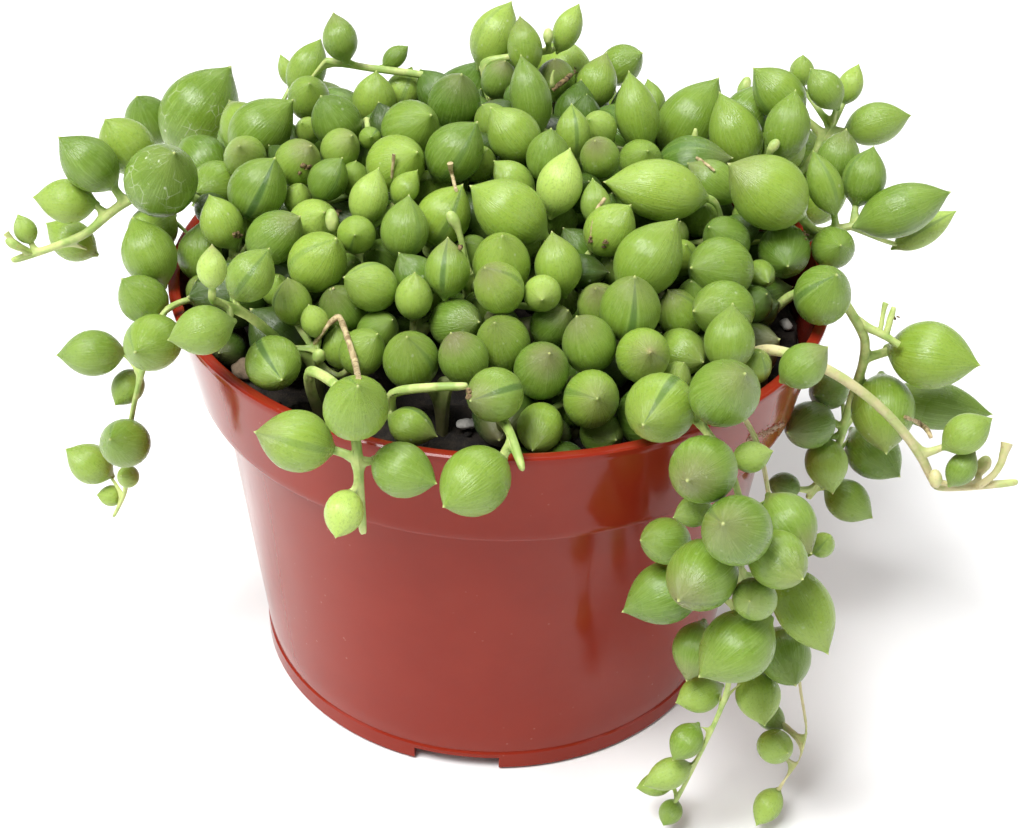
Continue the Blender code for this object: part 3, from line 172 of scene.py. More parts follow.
def soft_light(name, place, aim, width, height, power):
    """A rectangular light that looks at a point."""
    data = bpy.data.lights.new(name, "AREA")
    data.shape = "RECTANGLE"
    data.size = width
    data.size_y = height
    data.energy = power
    light = in_scene(name, data)
    light.location = place
    light.rotation_euler = (Vector(aim) - Vector(place)).to_track_quat("-Z", "Y").to_euler()


soft_light("key", (-0.90, -0.90, 2.55), (0, 0, 0.07), 1.26, 1.26, 114.0)
soft_light("left", (-2.25, -1.05, 1.05), (0, 0, 0.05), 1.05, 1.80, 10.0)
soft_light("right", (2.10, -1.05, 1.50), (0, 0, 0.05), 1.5, 1.5, 9.0)
soft_light("back", (0.30, 1.65, 2.10), (0, 0, 0.08), 1.8, 1.2, 28.0)
print("four soft lights and a pale floor")

# %% [markdown]
# ## Small tools
#
# Every operator in Blender acts on what is selected, so each step starts by clearing the
# selection and taking up one object. A turned or swollen shape is made by hand as a ring that is
# extruded again and again: each new ring is moved along the axis and made wider or narrower.

# %% Selection, rings and finishing
SAME_POINT = 0.000002


def take(thing):
    """Select this object only, in object mode."""
    if bpy.context.object and bpy.context.object.mode != "OBJECT":
        bpy.ops.object.mode_set(mode="OBJECT")
    bpy.ops.object.select_all(action="DESELECT")
    thing.select_set(True)
    bpy.context.view_layer.objects.active = thing


def edit_all(thing):
    """Take up this object, in edit mode, with all of its mesh selected."""
    take(thing)
    bpy.ops.object.mode_set(mode="EDIT")
    bpy.ops.mesh.select_all(action="SELECT")


def turn_faces_out():
    """Make all faces look outwards, and leave edit mode."""
    bpy.ops.mesh.select_all(action="SELECT")
    bpy.ops.mesh.normals_make_consistent(inside=False)
    bpy.ops.object.mode_set(mode="OBJECT")


def ring_form(name, profile, sides):
    """A form that is extruded ring by ring along (radius, height) points of its profile."""
    bpy.ops.object.select_all(action="DESELECT")
    radius, height = profile[0]
    bpy.ops.mesh.primitive_circle_add(
        vertices=sides, radius=radius, fill_type="NGON", location=(0.0, 0.0, 0.0))
    thing = bpy.context.object
    thing.name = name
    edit_all(thing)
    bpy.ops.transform.translate(value=(0.0, 0.0, height))
    for next_radius, next_height in profile[1:]:
        bpy.ops.mesh.extrude_region_move()
        if next_radius > 0.0:
            share = next_radius / radius
            bpy.ops.transform.resize(value=(share, share, 1.0))
        bpy.ops.transform.translate(value=(0.0, 0.0, next_height - height))
        if next_radius <= 0.0:
            bpy.ops.mesh.merge(type="CENTER")
        radius, height = next_radius, next_height
    turn_faces_out()
    return thing


def apply_modifiers(thing):
    """Apply the object's modifiers in their order."""
    take(thing)
    for modifier in list(thing.modifiers):
        bpy.ops.object.modifier_apply(modifier=modifier.name)


def smooth_levels(thing, levels):
    """A subdivision surface that looks the same in the viewport and in a render."""
    soft = thing.modifiers.new("Smooth form", "SUBSURF")
    soft.levels = levels
    soft.render_levels = levels
    return soft


def finish_piece(thing, finish, slot, *stands_for):
    """Give a piece its finish and smooth faces, put it on the root body, and hide the solids it stands for.
    """
    thing.data.materials.clear()
    thing.data.materials.append(finish.material)
    for face in thing.data.polygons:
        face.use_smooth = True
    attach(thing, "root")
    if stands_for:
        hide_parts(*stands_for)


# %% [markdown]
# ## Materials from nodes
#
# Each finish is a Principled surface whose colour, roughness and bump come from small patterns. A
# few helpers keep the node trees short: one adds a node, one joins two sockets, one turns a value
# into a soft step, and one lays a coat of colour over the coats before it.

# %% Node helpers


class Finish:
    """A material with a Principled surface, and short ways to add nodes to it."""

    def __init__(self, name, colour, roughness):
        self.material = bpy.data.materials.new(name)
        self.material.use_nodes = True
        self.tree = self.material.node_tree
        self.surface = self.tree.nodes["Principled BSDF"]
        self.colour = colour
        self.set(Base_Color=colour, Roughness=roughness)

    def add(self, kind, **settings):
        """A new node with these settings."""
        node = self.tree.nodes.new(kind)
        for key, value in settings.items():
            setattr(node, key, value)
        return node

    def put(self, socket, value):
        """A socket takes a value or the output of another node."""
        if isinstance(value, bpy.types.NodeSocket):
            self.tree.links.new(value, socket)
        elif isinstance(value, tuple) and len(value) == 3 and socket.type == "RGBA":
            socket.default_value = (*value, 1.0)
        else:
            socket.default_value = value

    def fill(self, node, **sockets):
        """A node whose sockets, by their names, take these values or outputs."""
        for key, value in sockets.items():
            self.put(node.inputs[key.replace("_", " ")], value)
        return node

    def math(self, operation, a, b=0.0, clamp=False):
        """A value worked out from two others."""
        node = self.add("ShaderNodeMath", operation=operation, use_clamp=clamp)
        self.put(node.inputs[0], a)
        self.put(node.inputs[1], b)
        return node.outputs[0]

    def times(self, a, b):
        """A product."""
        return self.math("MULTIPLY", a, b)

    def plus(self, a, b, clamp=False):
        """A sum."""
        return self.math("ADD", a, b, clamp)

    def step(self, value, low, high):
        """0 below low, 1 above high, and a smooth way between."""
        node = self.add("ShaderNodeMapRange", interpolation_type="SMOOTHSTEP")
        return self.fill(node, Value=value, From_Min=low, From_Max=high).outputs["Result"]

    def parts(self, vector):
        """The x, y and z of a vector."""
        node = self.add("ShaderNodeSeparateXYZ")
        self.put(node.inputs[0], vector)
        return tuple(node.outputs)

    def joined(self, *values):
        """A vector from its x, y and z."""
        node = self.add("ShaderNodeCombineXYZ")
        for socket, value in zip(node.inputs, values):
            self.put(socket, value)
        return node.outputs[0]

    def vector_math(self, operation, *vectors):
        """What an operation on vectors gives: a vector, or the number of a length or a product."""
        node = self.add("ShaderNodeVectorMath", operation=operation)
        for socket, vector in zip(node.inputs, vectors):
            self.put(socket, vector)
        return node.outputs["Vector" if operation == "NORMALIZE" else "Value"]

    def coat(self, share, paint, strength=1.0):
        """Lay a colour over those before it, by a share."""
        node = self.add("ShaderNodeMix", data_type="RGBA")
        self.fill(node, Factor=share if strength == 1.0 else self.times(share, strength))
        self.put(node.inputs[6], self.colour)
        self.put(node.inputs[7], paint)
        self.colour = node.outputs[2]
        self.set(Base_Color=self.colour)

    def noise(self, vector, scale, detail=2.0, roughness=0.5):
        """A soft cloudy pattern between 0 and 1."""
        node = self.add("ShaderNodeTexNoise")
        self.fill(node, Vector=vector, Scale=scale, Detail=detail, Roughness=roughness)
        return node.outputs["Fac"]

    def cells(self, vector, scale, feature="F1"):
        """The distance to the nearest of many scattered points."""
        node = self.add("ShaderNodeTexVoronoi", feature=feature)
        return self.fill(node, Vector=vector, Scale=scale).outputs["Distance"]

    def places(self):
        """The object's own coordinates."""
        return self.add("ShaderNodeTexCoord").outputs["Object"]

    def bump(self, height, distance, strength=1.0, after=None):
        """A bump that leans the surface by a height pattern."""
        node = self.fill(self.add("ShaderNodeBump"), Height=height, Distance=distance, Strength=strength)
        if after:
            self.fill(node, Normal=after)
        return node.outputs["Normal"]

    def set(self, **sockets):
        """Values or patterns for the surface's sockets."""
        self.fill(self.surface, **sockets)


# %% [markdown]
# ### Leaf skin
#
# A leaf is a fleshy, slightly see-through tear with a waxy bloom. Down one side runs a darker
# window, a narrow stripe of clear tissue from the tip to the stalk. Fine lines run the same way.
# The tip is pale, and older leaves turn purple-grey around it. So that these follow each leaf and
# not the object as a whole, every leaf carries three attributes: `place` (where a point is on its
# leaf, in widths of the leaf), `kind` (tone, youth, bloom and stripe) and `marks` (specks, dryness
# and a random number). A tone below zero lays painted shade on a leaf. Subsurface light gives the flesh its
# soft depth.

# %% Make the leaf skin
DARK_LEAF = (0.080, 0.165, 0.010)
FRESH_LEAF = (0.280, 0.412, 0.048)
YOUNG_LEAF = (0.480, 0.640, 0.135)
LEAF_WINDOW = (0.045, 0.120, 0.026)
LEAF_BLOOM = (0.235, 0.205, 0.105)
SHADED_LEAF = (0.042, 0.078, 0.010)
LEAF_TIP = (0.640, 0.700, 0.270)
LEAF_DRY = (0.430, 0.330, 0.170)
LEAF_SPECK = (0.62, 0.68, 0.50)
LEAF_LINES = (0.34, 0.50, 0.14)
LEAF_FOOT = (0.300, 0.430, 0.110)
WINDOW_EDGE = (0.330, 0.480, 0.140)

leaf_skin = Finish("leaf skin", DARK_LEAF, 0.40)
place = leaf_skin.add("ShaderNodeAttribute", attribute_name="place").outputs["Vector"]
kind = leaf_skin.add("ShaderNodeAttribute", attribute_name="kind")
marks = leaf_skin.add("ShaderNodeAttribute", attribute_name="marks").outputs["Vector"]
kind_parts = leaf_skin.add("ShaderNodeSeparateColor")
leaf_skin.put(kind_parts.inputs[0], kind.outputs["Color"])
tone, youth, bloom = kind_parts.outputs[0], kind_parts.outputs[1], kind_parts.outputs[2]
stripe = kind.outputs["Alpha"]
times, plus, step, coat = leaf_skin.times, leaf_skin.plus, leaf_skin.step, leaf_skin.coat
specks, dryness, chance = leaf_skin.parts(marks)
across, sideways, along = leaf_skin.parts(place)

# %% The direction round the leaf, and the lines that run along it
round_way = leaf_skin.vector_math("NORMALIZE", leaf_skin.joined(across, sideways))
to_front, to_side, _ = leaf_skin.parts(round_way)
LINES_ROUND = 9.0
CHANCE_SHIFT = 37.0
line_place = leaf_skin.joined(times(to_front, LINES_ROUND), times(to_side, LINES_ROUND),
                              plus(along, times(chance, CHANCE_SHIFT)))
lines = leaf_skin.noise(line_place, 2.3, 3.0, 0.7)

# %% [markdown]
# The colour is laid in thin coats, each with its share: the body from dark to fresh by the leaf's
# tone, youth, pale lines, dark grain, painted shade where the tone is below zero, the pale foot, the
# window with its pale edge, the purple blush, the tip, a dry edge, and last the pale dots and cracks of
# scarred leaves.

# %% Coats of colour
clouds = leaf_skin.noise(leaf_skin.places(), 190.0, 3.0, 0.55)
mottle = leaf_skin.noise(leaf_skin.places(), 900.0, 2.0, 0.5)
grain = leaf_skin.noise(leaf_skin.places(), 2600.0, 2.0, 0.6)
body_tone = plus(tone, times(plus(clouds, -0.5), 0.55), clamp=True)
coat(body_tone, FRESH_LEAF)
coat(youth, YOUNG_LEAF)
coat(step(lines, 0.45, 0.66), LEAF_LINES, 0.32)
coat(step(grain, 0.48, 0.30), DARK_LEAF, 0.30)
# Painted shade on the deeper and sunk leaves, where the tone is below zero
coat(step(tone, 0.0, -0.7), SHADED_LEAF, 0.85)
coat(step(along, -0.34, -0.60), LEAF_FOOT, 0.55)
coat(times(step(to_front, 0.955, 0.982), stripe), WINDOW_EDGE, 0.30)
window = times(step(to_front, 0.984, 0.998), step(along, -0.56, -0.25))
coat(times(window, stripe), LEAF_WINDOW, 0.80)
blush = plus(along, times(plus(lines, -0.5), 0.30))
coat(times(step(blush, 0.24, 0.76), bloom), LEAF_BLOOM)
coat(step(along, 0.742, 0.785), LEAF_TIP, 0.85)
dry_edge = step(plus(along, times(clouds, 0.3)), 0.78, 0.92)
coat(times(dry_edge, dryness), LEAF_DRY)
dots = step(leaf_skin.cells(leaf_skin.places(), 620.0), 0.20, 0.10)
dots = times(dots, step(mottle, 0.52, 0.62))
coat(times(dots, specks), LEAF_SPECK, 0.75)
cracks = step(leaf_skin.cells(leaf_skin.places(), 420.0, "DISTANCE_TO_EDGE"), 0.035, 0.008)
cracks = times(cracks, step(clouds, 0.50, 0.62))
coat(times(cracks, step(specks, 0.70, 0.95)), LEAF_SPECK, 0.50)

# %% Gloss, depth and fine relief of the leaf
gloss = plus(0.20, times(clouds, 0.16))
relief = leaf_skin.bump(lines, 0.00020, 0.6)
relief = leaf_skin.bump(mottle, 0.00010, 0.5, relief)
leaf_skin.set(Roughness=gloss, Normal=relief)
leaf_skin.set(Subsurface_Weight=0.16, Subsurface_Scale=0.0014, Subsurface_Radius=(0.55, 1.0, 0.18))
leaf_skin.set(Specular_IOR_Level=0.48)
leaf_skin.set(Sheen_Weight=0.02, Sheen_Roughness=0.45, Sheen_Tint=(0.80, 0.92, 1.0))
print("the leaf skin has", len(leaf_skin.tree.nodes), "nodes")

# %% [markdown]
# ### Stem, plastic and potting mix
#
# Stems are paler than leaves, turn woody brown in patches, and turn nearly black low down inside
# the pot, next to the mix. The pot is smooth injection-moulded plastic: strong red-brown, glossy,
# with a little dust, a few fine rubs and an inside darkened by painted shade. Potting mix is nearly black,
# with grains.

# %% Make the stem skins


def stem_finish(name, patches, patch_end, dark, pale, brown, brown_from, brown_share, depth):
    """A stem's finish: two greens in patches, with brown grains."""
    finish = Finish(name, dark, 0.5)
    broad = finish.noise(finish.places(), patches, 3.0, 0.6)
    fine = finish.noise(finish.places(), 1500.0, 2.0, 0.5)
    finish.coat(finish.step(broad, 0.38, patch_end), pale)
    finish.coat(finish.step(fine, brown_from, 0.75), brown, brown_share)
    finish.set(Normal=finish.bump(fine, 0.0001, 0.5))
    finish.set(Subsurface_Weight=0.15, Subsurface_Scale=0.001, Subsurface_Radius=depth)
    return finish


stem_skin = stem_finish("stem skin", 260.0, 0.62, (0.300, 0.430, 0.100), (0.520, 0.600, 0.210),
                        (0.36, 0.23, 0.10), 0.60, 0.35, (0.6, 1.0, 0.2))
aged_stem = stem_finish("aged stem", 210.0, 0.60, (0.460, 0.520, 0.190), (0.620, 0.560, 0.300),
                        (0.40, 0.24, 0.13), 0.56, 0.40, (1.0, 0.8, 0.3))
stem_x, stem_y, stem_z = stem_skin.parts(stem_skin.places())
from_axis = stem_skin.vector_math("LENGTH", stem_skin.joined(stem_x, stem_y))
# Low on the stems inside the pot, next to the mix, the colour turns nearly black
in_the_pot = stem_skin.step(from_axis, 0.0508, 0.0490)
in_the_mix = stem_skin.times(stem_skin.step(stem_z, 0.0765, 0.0690), in_the_pot)
stem_skin.coat(in_the_mix, (0.050, 0.040, 0.016), 0.90)

# %% Make the pot's plastic
pot_plastic = Finish("red nursery plastic", (0.230, 0.018, 0.007), 0.24)
pot_places = pot_plastic.places()
_, _, pot_height = pot_plastic.parts(pot_places)
pot_clouds = pot_plastic.noise(pot_places, 45.0, 4.0, 0.6)
pot_dust = pot_plastic.step(pot_plastic.cells(pot_places, 420.0), 0.10, 0.05)
pot_dust = pot_plastic.times(pot_dust, pot_plastic.step(pot_clouds, 0.52, 0.66))
surface_way = pot_plastic.add("ShaderNodeTexCoord").outputs["Normal"]
facing_out = pot_plastic.vector_math("DOT_PRODUCT", pot_places, surface_way)
pot_plastic.coat(pot_plastic.step(pot_clouds, 0.3, 0.7), (0.252, 0.022, 0.009))
pot_plastic.coat(pot_plastic.step(pot_height, 0.0735, 0.0746), (0.235, 0.019, 0.008))
pot_plastic.coat(pot_dust, (0.55, 0.28, 0.22), 0.25)
# Painted shade: the surfaces that face the pot's axis, its inside, are darkened
pot_plastic.coat(pot_plastic.step(facing_out, 0.0, -0.02), (0.090, 0.012, 0.008), 0.7)
rub_places = pot_plastic.add("ShaderNodeMapping")
pot_plastic.fill(rub_places, Vector=pot_places, Scale=(1.0, 1.0, 0.12), Rotation=(0.35, 0.2, 0.0))
rubs = pot_plastic.noise(rub_places.outputs[0], 900.0, 2.0, 0.5)
pot_gloss = pot_plastic.plus(0.12, pot_plastic.times(pot_plastic.step(rubs, 0.58, 0.8), 0.08))
pot_plastic.set(Roughness=pot_gloss, Specular_IOR_Level=0.20)
pot_plastic.set(Normal=pot_plastic.bump(pot_clouds, 0.00025, 0.25))

# %% Make the potting mix
mix_crumb = Finish("potting mix", (0.008, 0.006, 0.005), 0.95)
mix_places = mix_crumb.places()
mix_clods = mix_crumb.noise(mix_places, 420.0, 5.0, 0.65)
mix_fine = mix_crumb.noise(mix_places, 2400.0, 3.0, 0.6)
mix_crumb.coat(mix_crumb.step(mix_clods, 0.35, 0.7), (0.034, 0.025, 0.017))
mix_crumb.coat(mix_crumb.step(mix_fine, 0.62, 0.78), (0.085, 0.060, 0.038))
mix_crumb.set(Normal=mix_crumb.bump(mix_fine, 0.0004, 0.8))

# %% Make stone, bark, dry stalk, scab and lime crust


def dry_finish(name, roughness, scale, dark, pale, edges=None, relief=0.0003, strength=0.8):
    """A rough, dry finish: two colours in clouds, sharper where the clouds have edges."""
    finish = Finish(name, dark, roughness)
    patches = finish.noise(finish.places(), scale, 4.0, 0.6)
    finish.coat(finish.step(patches, *edges) if edges else patches, pale)
    finish.set(Normal=finish.bump(patches, relief, strength))
    return finish


pale_stone = dry_finish("pale grit", 0.85, 1300.0, (0.20, 0.19, 0.17), (0.62, 0.60, 0.55), strength=0.7)
bark_skin = dry_finish("bark", 0.9, 1100.0, (0.07, 0.045, 0.026), (0.24, 0.175, 0.110), relief=0.0004)
dry_skin = dry_finish("dry stalk", 0.85, 900.0, (0.24, 0.165, 0.075), (0.60, 0.49, 0.27), (0.32, 0.62))
scab_skin = dry_finish("brown scab", 0.9, 1500.0, (0.050, 0.030, 0.012), (0.270, 0.185, 0.085), (0.35, 0.6))
lime_crust = dry_finish("lime crust", 0.9, 1500.0, (0.30, 0.17, 0.09), (0.62, 0.47, 0.35))
print("ten finishes")

# %% [markdown]
# ## The leaf, modelled once
#
# The leaf is a cage of six sides and ten rings: a narrow ring at the stalk, the fattest ring just
# under the middle, and a point. A subdivision surface rounds it, and a crease on the last point
# keeps the tip sharp. Six sides are enough, and a few hundred copies stay light. Its size is one
# leaf width, with its length along +Z.

# %% Model the leaf cage
LEAF_PROFILE = (
    (0.055, -0.720), (0.085, -0.650), (0.180, -0.585), (0.345, -0.495), (0.550, -0.320), (0.655, -0.030),
    (0.592, 0.260), (0.385, 0.500), (0.150, 0.660), (0.045, 0.735), (0.0, 0.800),
)
LEAF_CAGE_SIDES = 6
LEAF_POINT_FROM = 0.79
LEAF_POINT_CREASE = 0.6
leaf_cage = ring_form("leaf cage", LEAF_PROFILE, LEAF_CAGE_SIDES)
take(leaf_cage)
bpy.ops.object.mode_set(mode="EDIT")
bpy.ops.mesh.select_all(action="DESELECT")
bpy.ops.object.mode_set(mode="OBJECT")
for vertex in leaf_cage.data.vertices:
    vertex.select = vertex.co.z > LEAF_POINT_FROM
bpy.ops.object.mode_set(mode="EDIT")
bpy.ops.mesh.select_mode(type="VERT")
bpy.ops.transform.vert_crease(value=LEAF_POINT_CREASE)
bpy.ops.object.mode_set(mode="OBJECT")
print("leaf cage:", len(leaf_cage.data.polygons), "faces")

# %% [markdown]
# ## Reading the leaves from the solids
#
# In the solids every leaf ends in a sharp point with four or five neighbours, which all lie on one
# ring around the leaf. No other point of a stem is like that, so we can find each leaf: its axis
# runs from the ring's middle to the point, the ring gives its width, and the height of the point
# over the ring says how stretched it is. The point and the ring are then cut away from a copy of
# the solid, which leaves the bare stem with its stalks, whose cut ends are drawn together inside
# the new leaf.

# %% Find the leaves and bare the stems
RING_SHARE = 0.14
RING_RADIUS = 0.51
POINT_SHARE = 0.78
LEAST_GIRTH, LARGEST_GIRTH = 0.003, 0.03


def leaf_from_point(vertex):
    """The leaf that ends in this point, and its ring, or None."""
    ring = [edge.other_vert(vertex) for edge in vertex.link_edges]
    if len(ring) not in (4, 5):
        return None
    lengths = [(other.co - vertex.co).length for other in ring]
    if max(lengths) > 1.02 * min(lengths):
        return None
    middle = sum((other.co for other in ring), Vector()) / len(ring)
    radii = [(other.co - middle).length for other in ring]
    radius = sum(radii) / len(radii)
    height = (vertex.co - middle).length
    if max(radii) > 1.03 * min(radii) or height < 0.9 * (POINT_SHARE - RING_SHARE) * radius / RING_RADIUS:
        return None
    girth = radius / RING_RADIUS
    stretch = max(1.0, height / ((POINT_SHARE - RING_SHARE) * girth))
    axis = (vertex.co - middle).normalized()
    centre = vertex.co - axis * POINT_SHARE * girth * stretch
    if not LEAST_GIRTH <= girth <= LARGEST_GIRTH:
        return None
    return {"centre": centre, "axis": axis, "girth": girth, "stretch": stretch}, ring


def bare_stem(node_name):
    """A copy of a leafy solid without its leaves, and the leaves that it had."""
    mesh = nodes[node_name].data.copy()
    stem = in_scene(f"{node_name}_stem", mesh)
    edit_all(stem)
    bpy.ops.mesh.remove_doubles(threshold=SAME_POINT)
    bpy.ops.mesh.select_all(action="DESELECT")
    shape = bmesh.from_edit_mesh(mesh)
    shape.verts.ensure_lookup_table()
    leaves = []
    gone = set()
    for vertex in shape.verts:
        found = leaf_from_point(vertex)
        if found:
            leaf, ring = found
            leaves.append(leaf)
            inner = {vertex, *ring}
            gone |= inner
            below = {edge.other_vert(v) for v in ring for edge in v.link_edges} - inner
            keep = leaf["centre"] + leaf["axis"] * -0.42 * leaf["girth"] * leaf["stretch"]
            for v in below:
                away = v.co - leaf["centre"]
                height = away.dot(leaf["axis"])
                if height > -0.5 * leaf["girth"] * leaf["stretch"]:
                    aside = (away - leaf["axis"] * height).normalized()
                    v.co = keep + aside * min(0.05 * leaf["girth"], 0.0005)
    for vertex in gone:
        vertex.select = True
    shape.select_flush(True)
    bmesh.update_edit_mesh(mesh)
    bpy.ops.mesh.select_mode(type="VERT")
    bpy.ops.mesh.delete(type="VERT")
    bpy.ops.mesh.select_all(action="SELECT")
    bpy.ops.mesh.fill_holes(sides=0)
    turn_faces_out()
    return stem, leaves


leafy_nodes = [name for name in sorted(nodes) if name.startswith(("stem_", "tuft_"))]
stems = {}
leaves = []
for name in leafy_nodes:
    stem, found = bare_stem(name)
    stems[name] = stem
    for leaf in found:
        leaf["node"] = name
    leaves += found
print(len(leaves), "leaves on", len(stems), "stems")

# %% [markdown]
# ## The hidden leaves
#
# The mound of the real plant is packed: under the leaves that catch the light lie more, in the
# shade. We drop leaves at random into the room between the potting mix and the top of the mound,
# and keep each one that touches no other. A leaf is tested as four balls along its length.

# %% Fill the mound with deeper leaves
BALLS = ((-0.30, 0.36), (0.02, 0.52), (0.36, 0.36), (0.62, 0.14))
SOIL_TOP = 0.0645
MOUND_RADIUS = 0.049


def leaf_balls(leaf):
    """Centres and radii of the balls that stand for a leaf."""
    length = leaf["girth"] * leaf["stretch"]
    centres = [leaf["centre"] + leaf["axis"] * share * length for share, _ in BALLS]
    return np.array([tuple(c) for c in centres]), np.array([share * leaf["girth"] for _, share in BALLS])


def mound_top(x, y):
    """The height of the mound's surface over a place on the pot."""
    return 0.067 + 0.026 * (1 - (x / 0.085) ** 2 - ((y - 0.015) / 0.070) ** 2)


ball_centres = np.concatenate([leaf_balls(leaf)[0] for leaf in leaves])
ball_radii = np.concatenate([leaf_balls(leaf)[1] for leaf in leaves])


def add_balls(centres, radii):
    """Count these balls among those that no new leaf may touch."""
    global ball_centres, ball_radii
    ball_centres = np.concatenate([ball_centres, centres])
    ball_radii = np.concatenate([ball_radii, radii])


def sight_line(u, v):
    """The direction in which a pixel looks."""
    aside, over = (u - PICTURE_WIDTH / 2) / LENS_PIXELS, (PICTURE_HEIGHT / 2 - v) / LENS_PIXELS
    return (eye_right * aside + eye_up * over - eye_back).normalized()


def first_touch(u, v):
    """How far along a pixel's sight line the first leaf is, or None."""
    way = np.array(tuple(sight_line(u, v)))
    to_balls = ball_centres - np.array(tuple(eye))
    ahead = to_balls @ way
    aside = (to_balls ** 2).sum(axis=1) - ahead ** 2
    hit = aside < ball_radii ** 2
    if not hit.any():
        return None
    return float((ahead - np.sqrt(np.clip(ball_radii ** 2 - aside, 0, None)))[hit].min())


def leaf_seen_at(u, v, nib_u, nib_v, girth, near, behind):
    """A leaf at a pixel, with its nib and girth in pixels, this far behind what another pixel shows."""
    away = first_touch(*near) + behind
    centre = eye + sight_line(u, v) * away
    size = away * -sight_line(u, v).dot(eye_back) / LENS_PIXELS
    reach = (eye_right * (nib_u - u) - eye_up * (nib_v - v)) * size
    full = POINT_SHARE * girth * size
    length = max(reach.length, LEAST_LEAN * full)
    share = min(length / full, 0.98)
    axis = reach.normalized() * share - sight_line(u, v) * math.sqrt(1 - share ** 2)
    return {"centre": centre, "axis": axis.normalized(), "girth": girth * size,
            "stretch": max(1.0, length / full), "node": None}


# Leaves that the picture shows behind others: pixel, nib, girth, a pixel that is as far, and how
# far behind that they are.
LEAST_LEAN = 0.15
SHADED_LEAVES = (
    (838, 160, 846, 134, 40, (823, 185), 0.012),
    (418, 282, 400, 255, 46, (413, 295), 0.009),
    (700, 300, 690, 280, 44, (720, 300), 0.012),
)
shaded = [leaf_seen_at(*values) for values in SHADED_LEAVES]
for leaf in shaded:
    add_balls(*leaf_balls(leaf))


def in_bare_place(x, y, z):
    """Whether a place is seen where the picture shows bare potting mix."""
    u, v = picture_place((x, y, z))
    return (u < 505 and v > 350) or (u > 765 and v > 265)


DEEP_SIZES = ((0.0105, 0.0085, 9000), (0.0090, 0.0065, 14000), (0.0070, 0.0050, 9000))
POT_INNER_RADIUS = 0.0505
OVER_THE_RIM = 0.077
TOUCHING = 0.96
chance_of = random.Random(11)
hidden = []
for largest, smallest, tries in DEEP_SIZES:
    for _ in range(tries):
        turn = chance_of.uniform(0, math.tau)
        around = MOUND_RADIUS * math.sqrt(chance_of.random())
        x, y = on_circle(around, turn)
        girth = chance_of.uniform(smallest, largest)
        low, high = SOIL_TOP + 0.55 * girth, mound_top(x, y) - 0.001 - 0.3 * girth
        if high <= low:
            continue
        z = chance_of.uniform(low, high)
        if (around + 0.55 * girth > POT_INNER_RADIUS and z < OVER_THE_RIM) or in_bare_place(x, y, z):
            continue
        lean = chance_of.uniform(-1, 1), chance_of.uniform(-1, 1) - 0.4, chance_of.uniform(0.1, 1.6)
        axis = Vector((x / 0.05 + lean[0], y / 0.05 + lean[1], lean[2])).normalized()
        leaf = {"centre": Vector((x, y, z)), "axis": axis, "girth": girth, "stretch": 1.0, "node": None}
        centres, radii = leaf_balls(leaf)
        gaps = np.linalg.norm(centres[:, None] - ball_centres[None], axis=2)
        gaps -= TOUCHING * (radii[:, None] + ball_radii[None])
        if gaps.min() > 0.0 and centres[:, 2].min() > SOIL_TOP + 0.001:
            hidden.append(leaf)
            add_balls(centres, radii)
print(len(hidden), "deeper leaves")

# %% [markdown]
# ## Every leaf its own character
#
# No two leaves are alike. Each one gets a tone, a little youth near the tips of the stems, a
# purple bloom in the sunny middle of the mound, a chance of a visible stripe, and a few specks.
# The deeper leaves, and those sunk under the mound's surface, get a lower tone: painted shade.
# The leaves that stand out in the picture are then named by where they are seen, and take their
# own values: the yellow young ones, the striped ones, and the pale scarred ones.

# %% Give the leaves their character
# Each value, with the leaves that take it: where one is seen, in pixels, and its value.
SPECIAL_LEAVES = {
    "tone": ((563, 187, 1), (371, 199, 0.9), (331, 219, 0.8), (922, 231, 0.9), (503, 40, 0.9),
        (565, 34, 0.9), (161, 180, 0.35), (198, 112, 0.35), (786, 129, 0.5), (499, 80, 0.1),
        (456, 104, 0.1), (450, 155, 0.3), (705, 576, 0.4), (777, 560, 0.5), (704, 470, 0.4),
        (723, 393, 0.4), (356, 408, 0.7), (298, 441, 0.8), (476, 478, 0.6), (638, 263, 0.3),
        (803, 606, 0.95), (315, 322, 0.9), (319, 356, 0.9), (668, 194, 1), (878, 408, 0.5),
        (872, 452, 0.3), (829, 391, 0.3), (732, 134, 0.7), (695, 119, 0.45), (637, 116, 0.7),
        (343, 308, 0.1), (455, 322, 0.1), (785, 247, 0.1), (727, 240, 0.1), (934, 405, 0.3),
        (812, 428, 0.2)),
    "youth": ((563, 187, 0.9), (371, 199, 0.4), (331, 219, 0.45), (212, 269, 0.8), (348, 509, 0.9),
        (744, 88, 0.75), (922, 231, 0.55), (503, 40, 0.3), (565, 34, 0.3), (356, 408, 0), (315, 322, 0.35),
        (319, 356, 0.5), (668, 194, 0.1)),
    "bloom": ((563, 187, 0), (161, 180, 0.15), (645, 354, 0.5), (495, 395, 0.5), (298, 165, 0.6),
        (458, 358, 0.8), (501, 293, 0.6), (499, 80, 0.6), (559, 79, 0.6), (600, 158, 0.7), (705, 576, 0.6),
        (777, 560, 0.35), (704, 470, 0.6), (723, 393, 0.4), (668, 194, 0), (878, 408, 0.3)),
    "stripe": ((258, 192, 0.9), (446, 222, 0.6), (447, 273, 0.8), (495, 395, 0.8), (660, 419, 0.8),
        (630, 312, 0.8), (292, 303, 0.8), (273, 361, 0.9), (374, 328, 0.7), (717, 273, 0.6)),
    "roll": ((645, 354, 2.5), (258, 192, 0.15), (446, 222, 0.3), (447, 273, -0.2), (495, 395, 0.1),
        (660, 419, 0.3), (630, 312, 0.2), (273, 361, 0.2)),
    "specks": ((776, 746, 0.6), (161, 180, 1), (198, 112, 1), (786, 129, 0.6)),
    "dry": ((212, 269, 0.5), (645, 354, 0.8)),
}


# Where old leaves with purple tips gather: the spot's middle and half-widths in pixels, its strength.
BLOOM_SPOTS = ((560, 350, 150, 75, 0.75), (740, 560, 70, 130, 0.55))
SMALL_GIRTH = 0.0085
MOUND_EDGE = 0.052


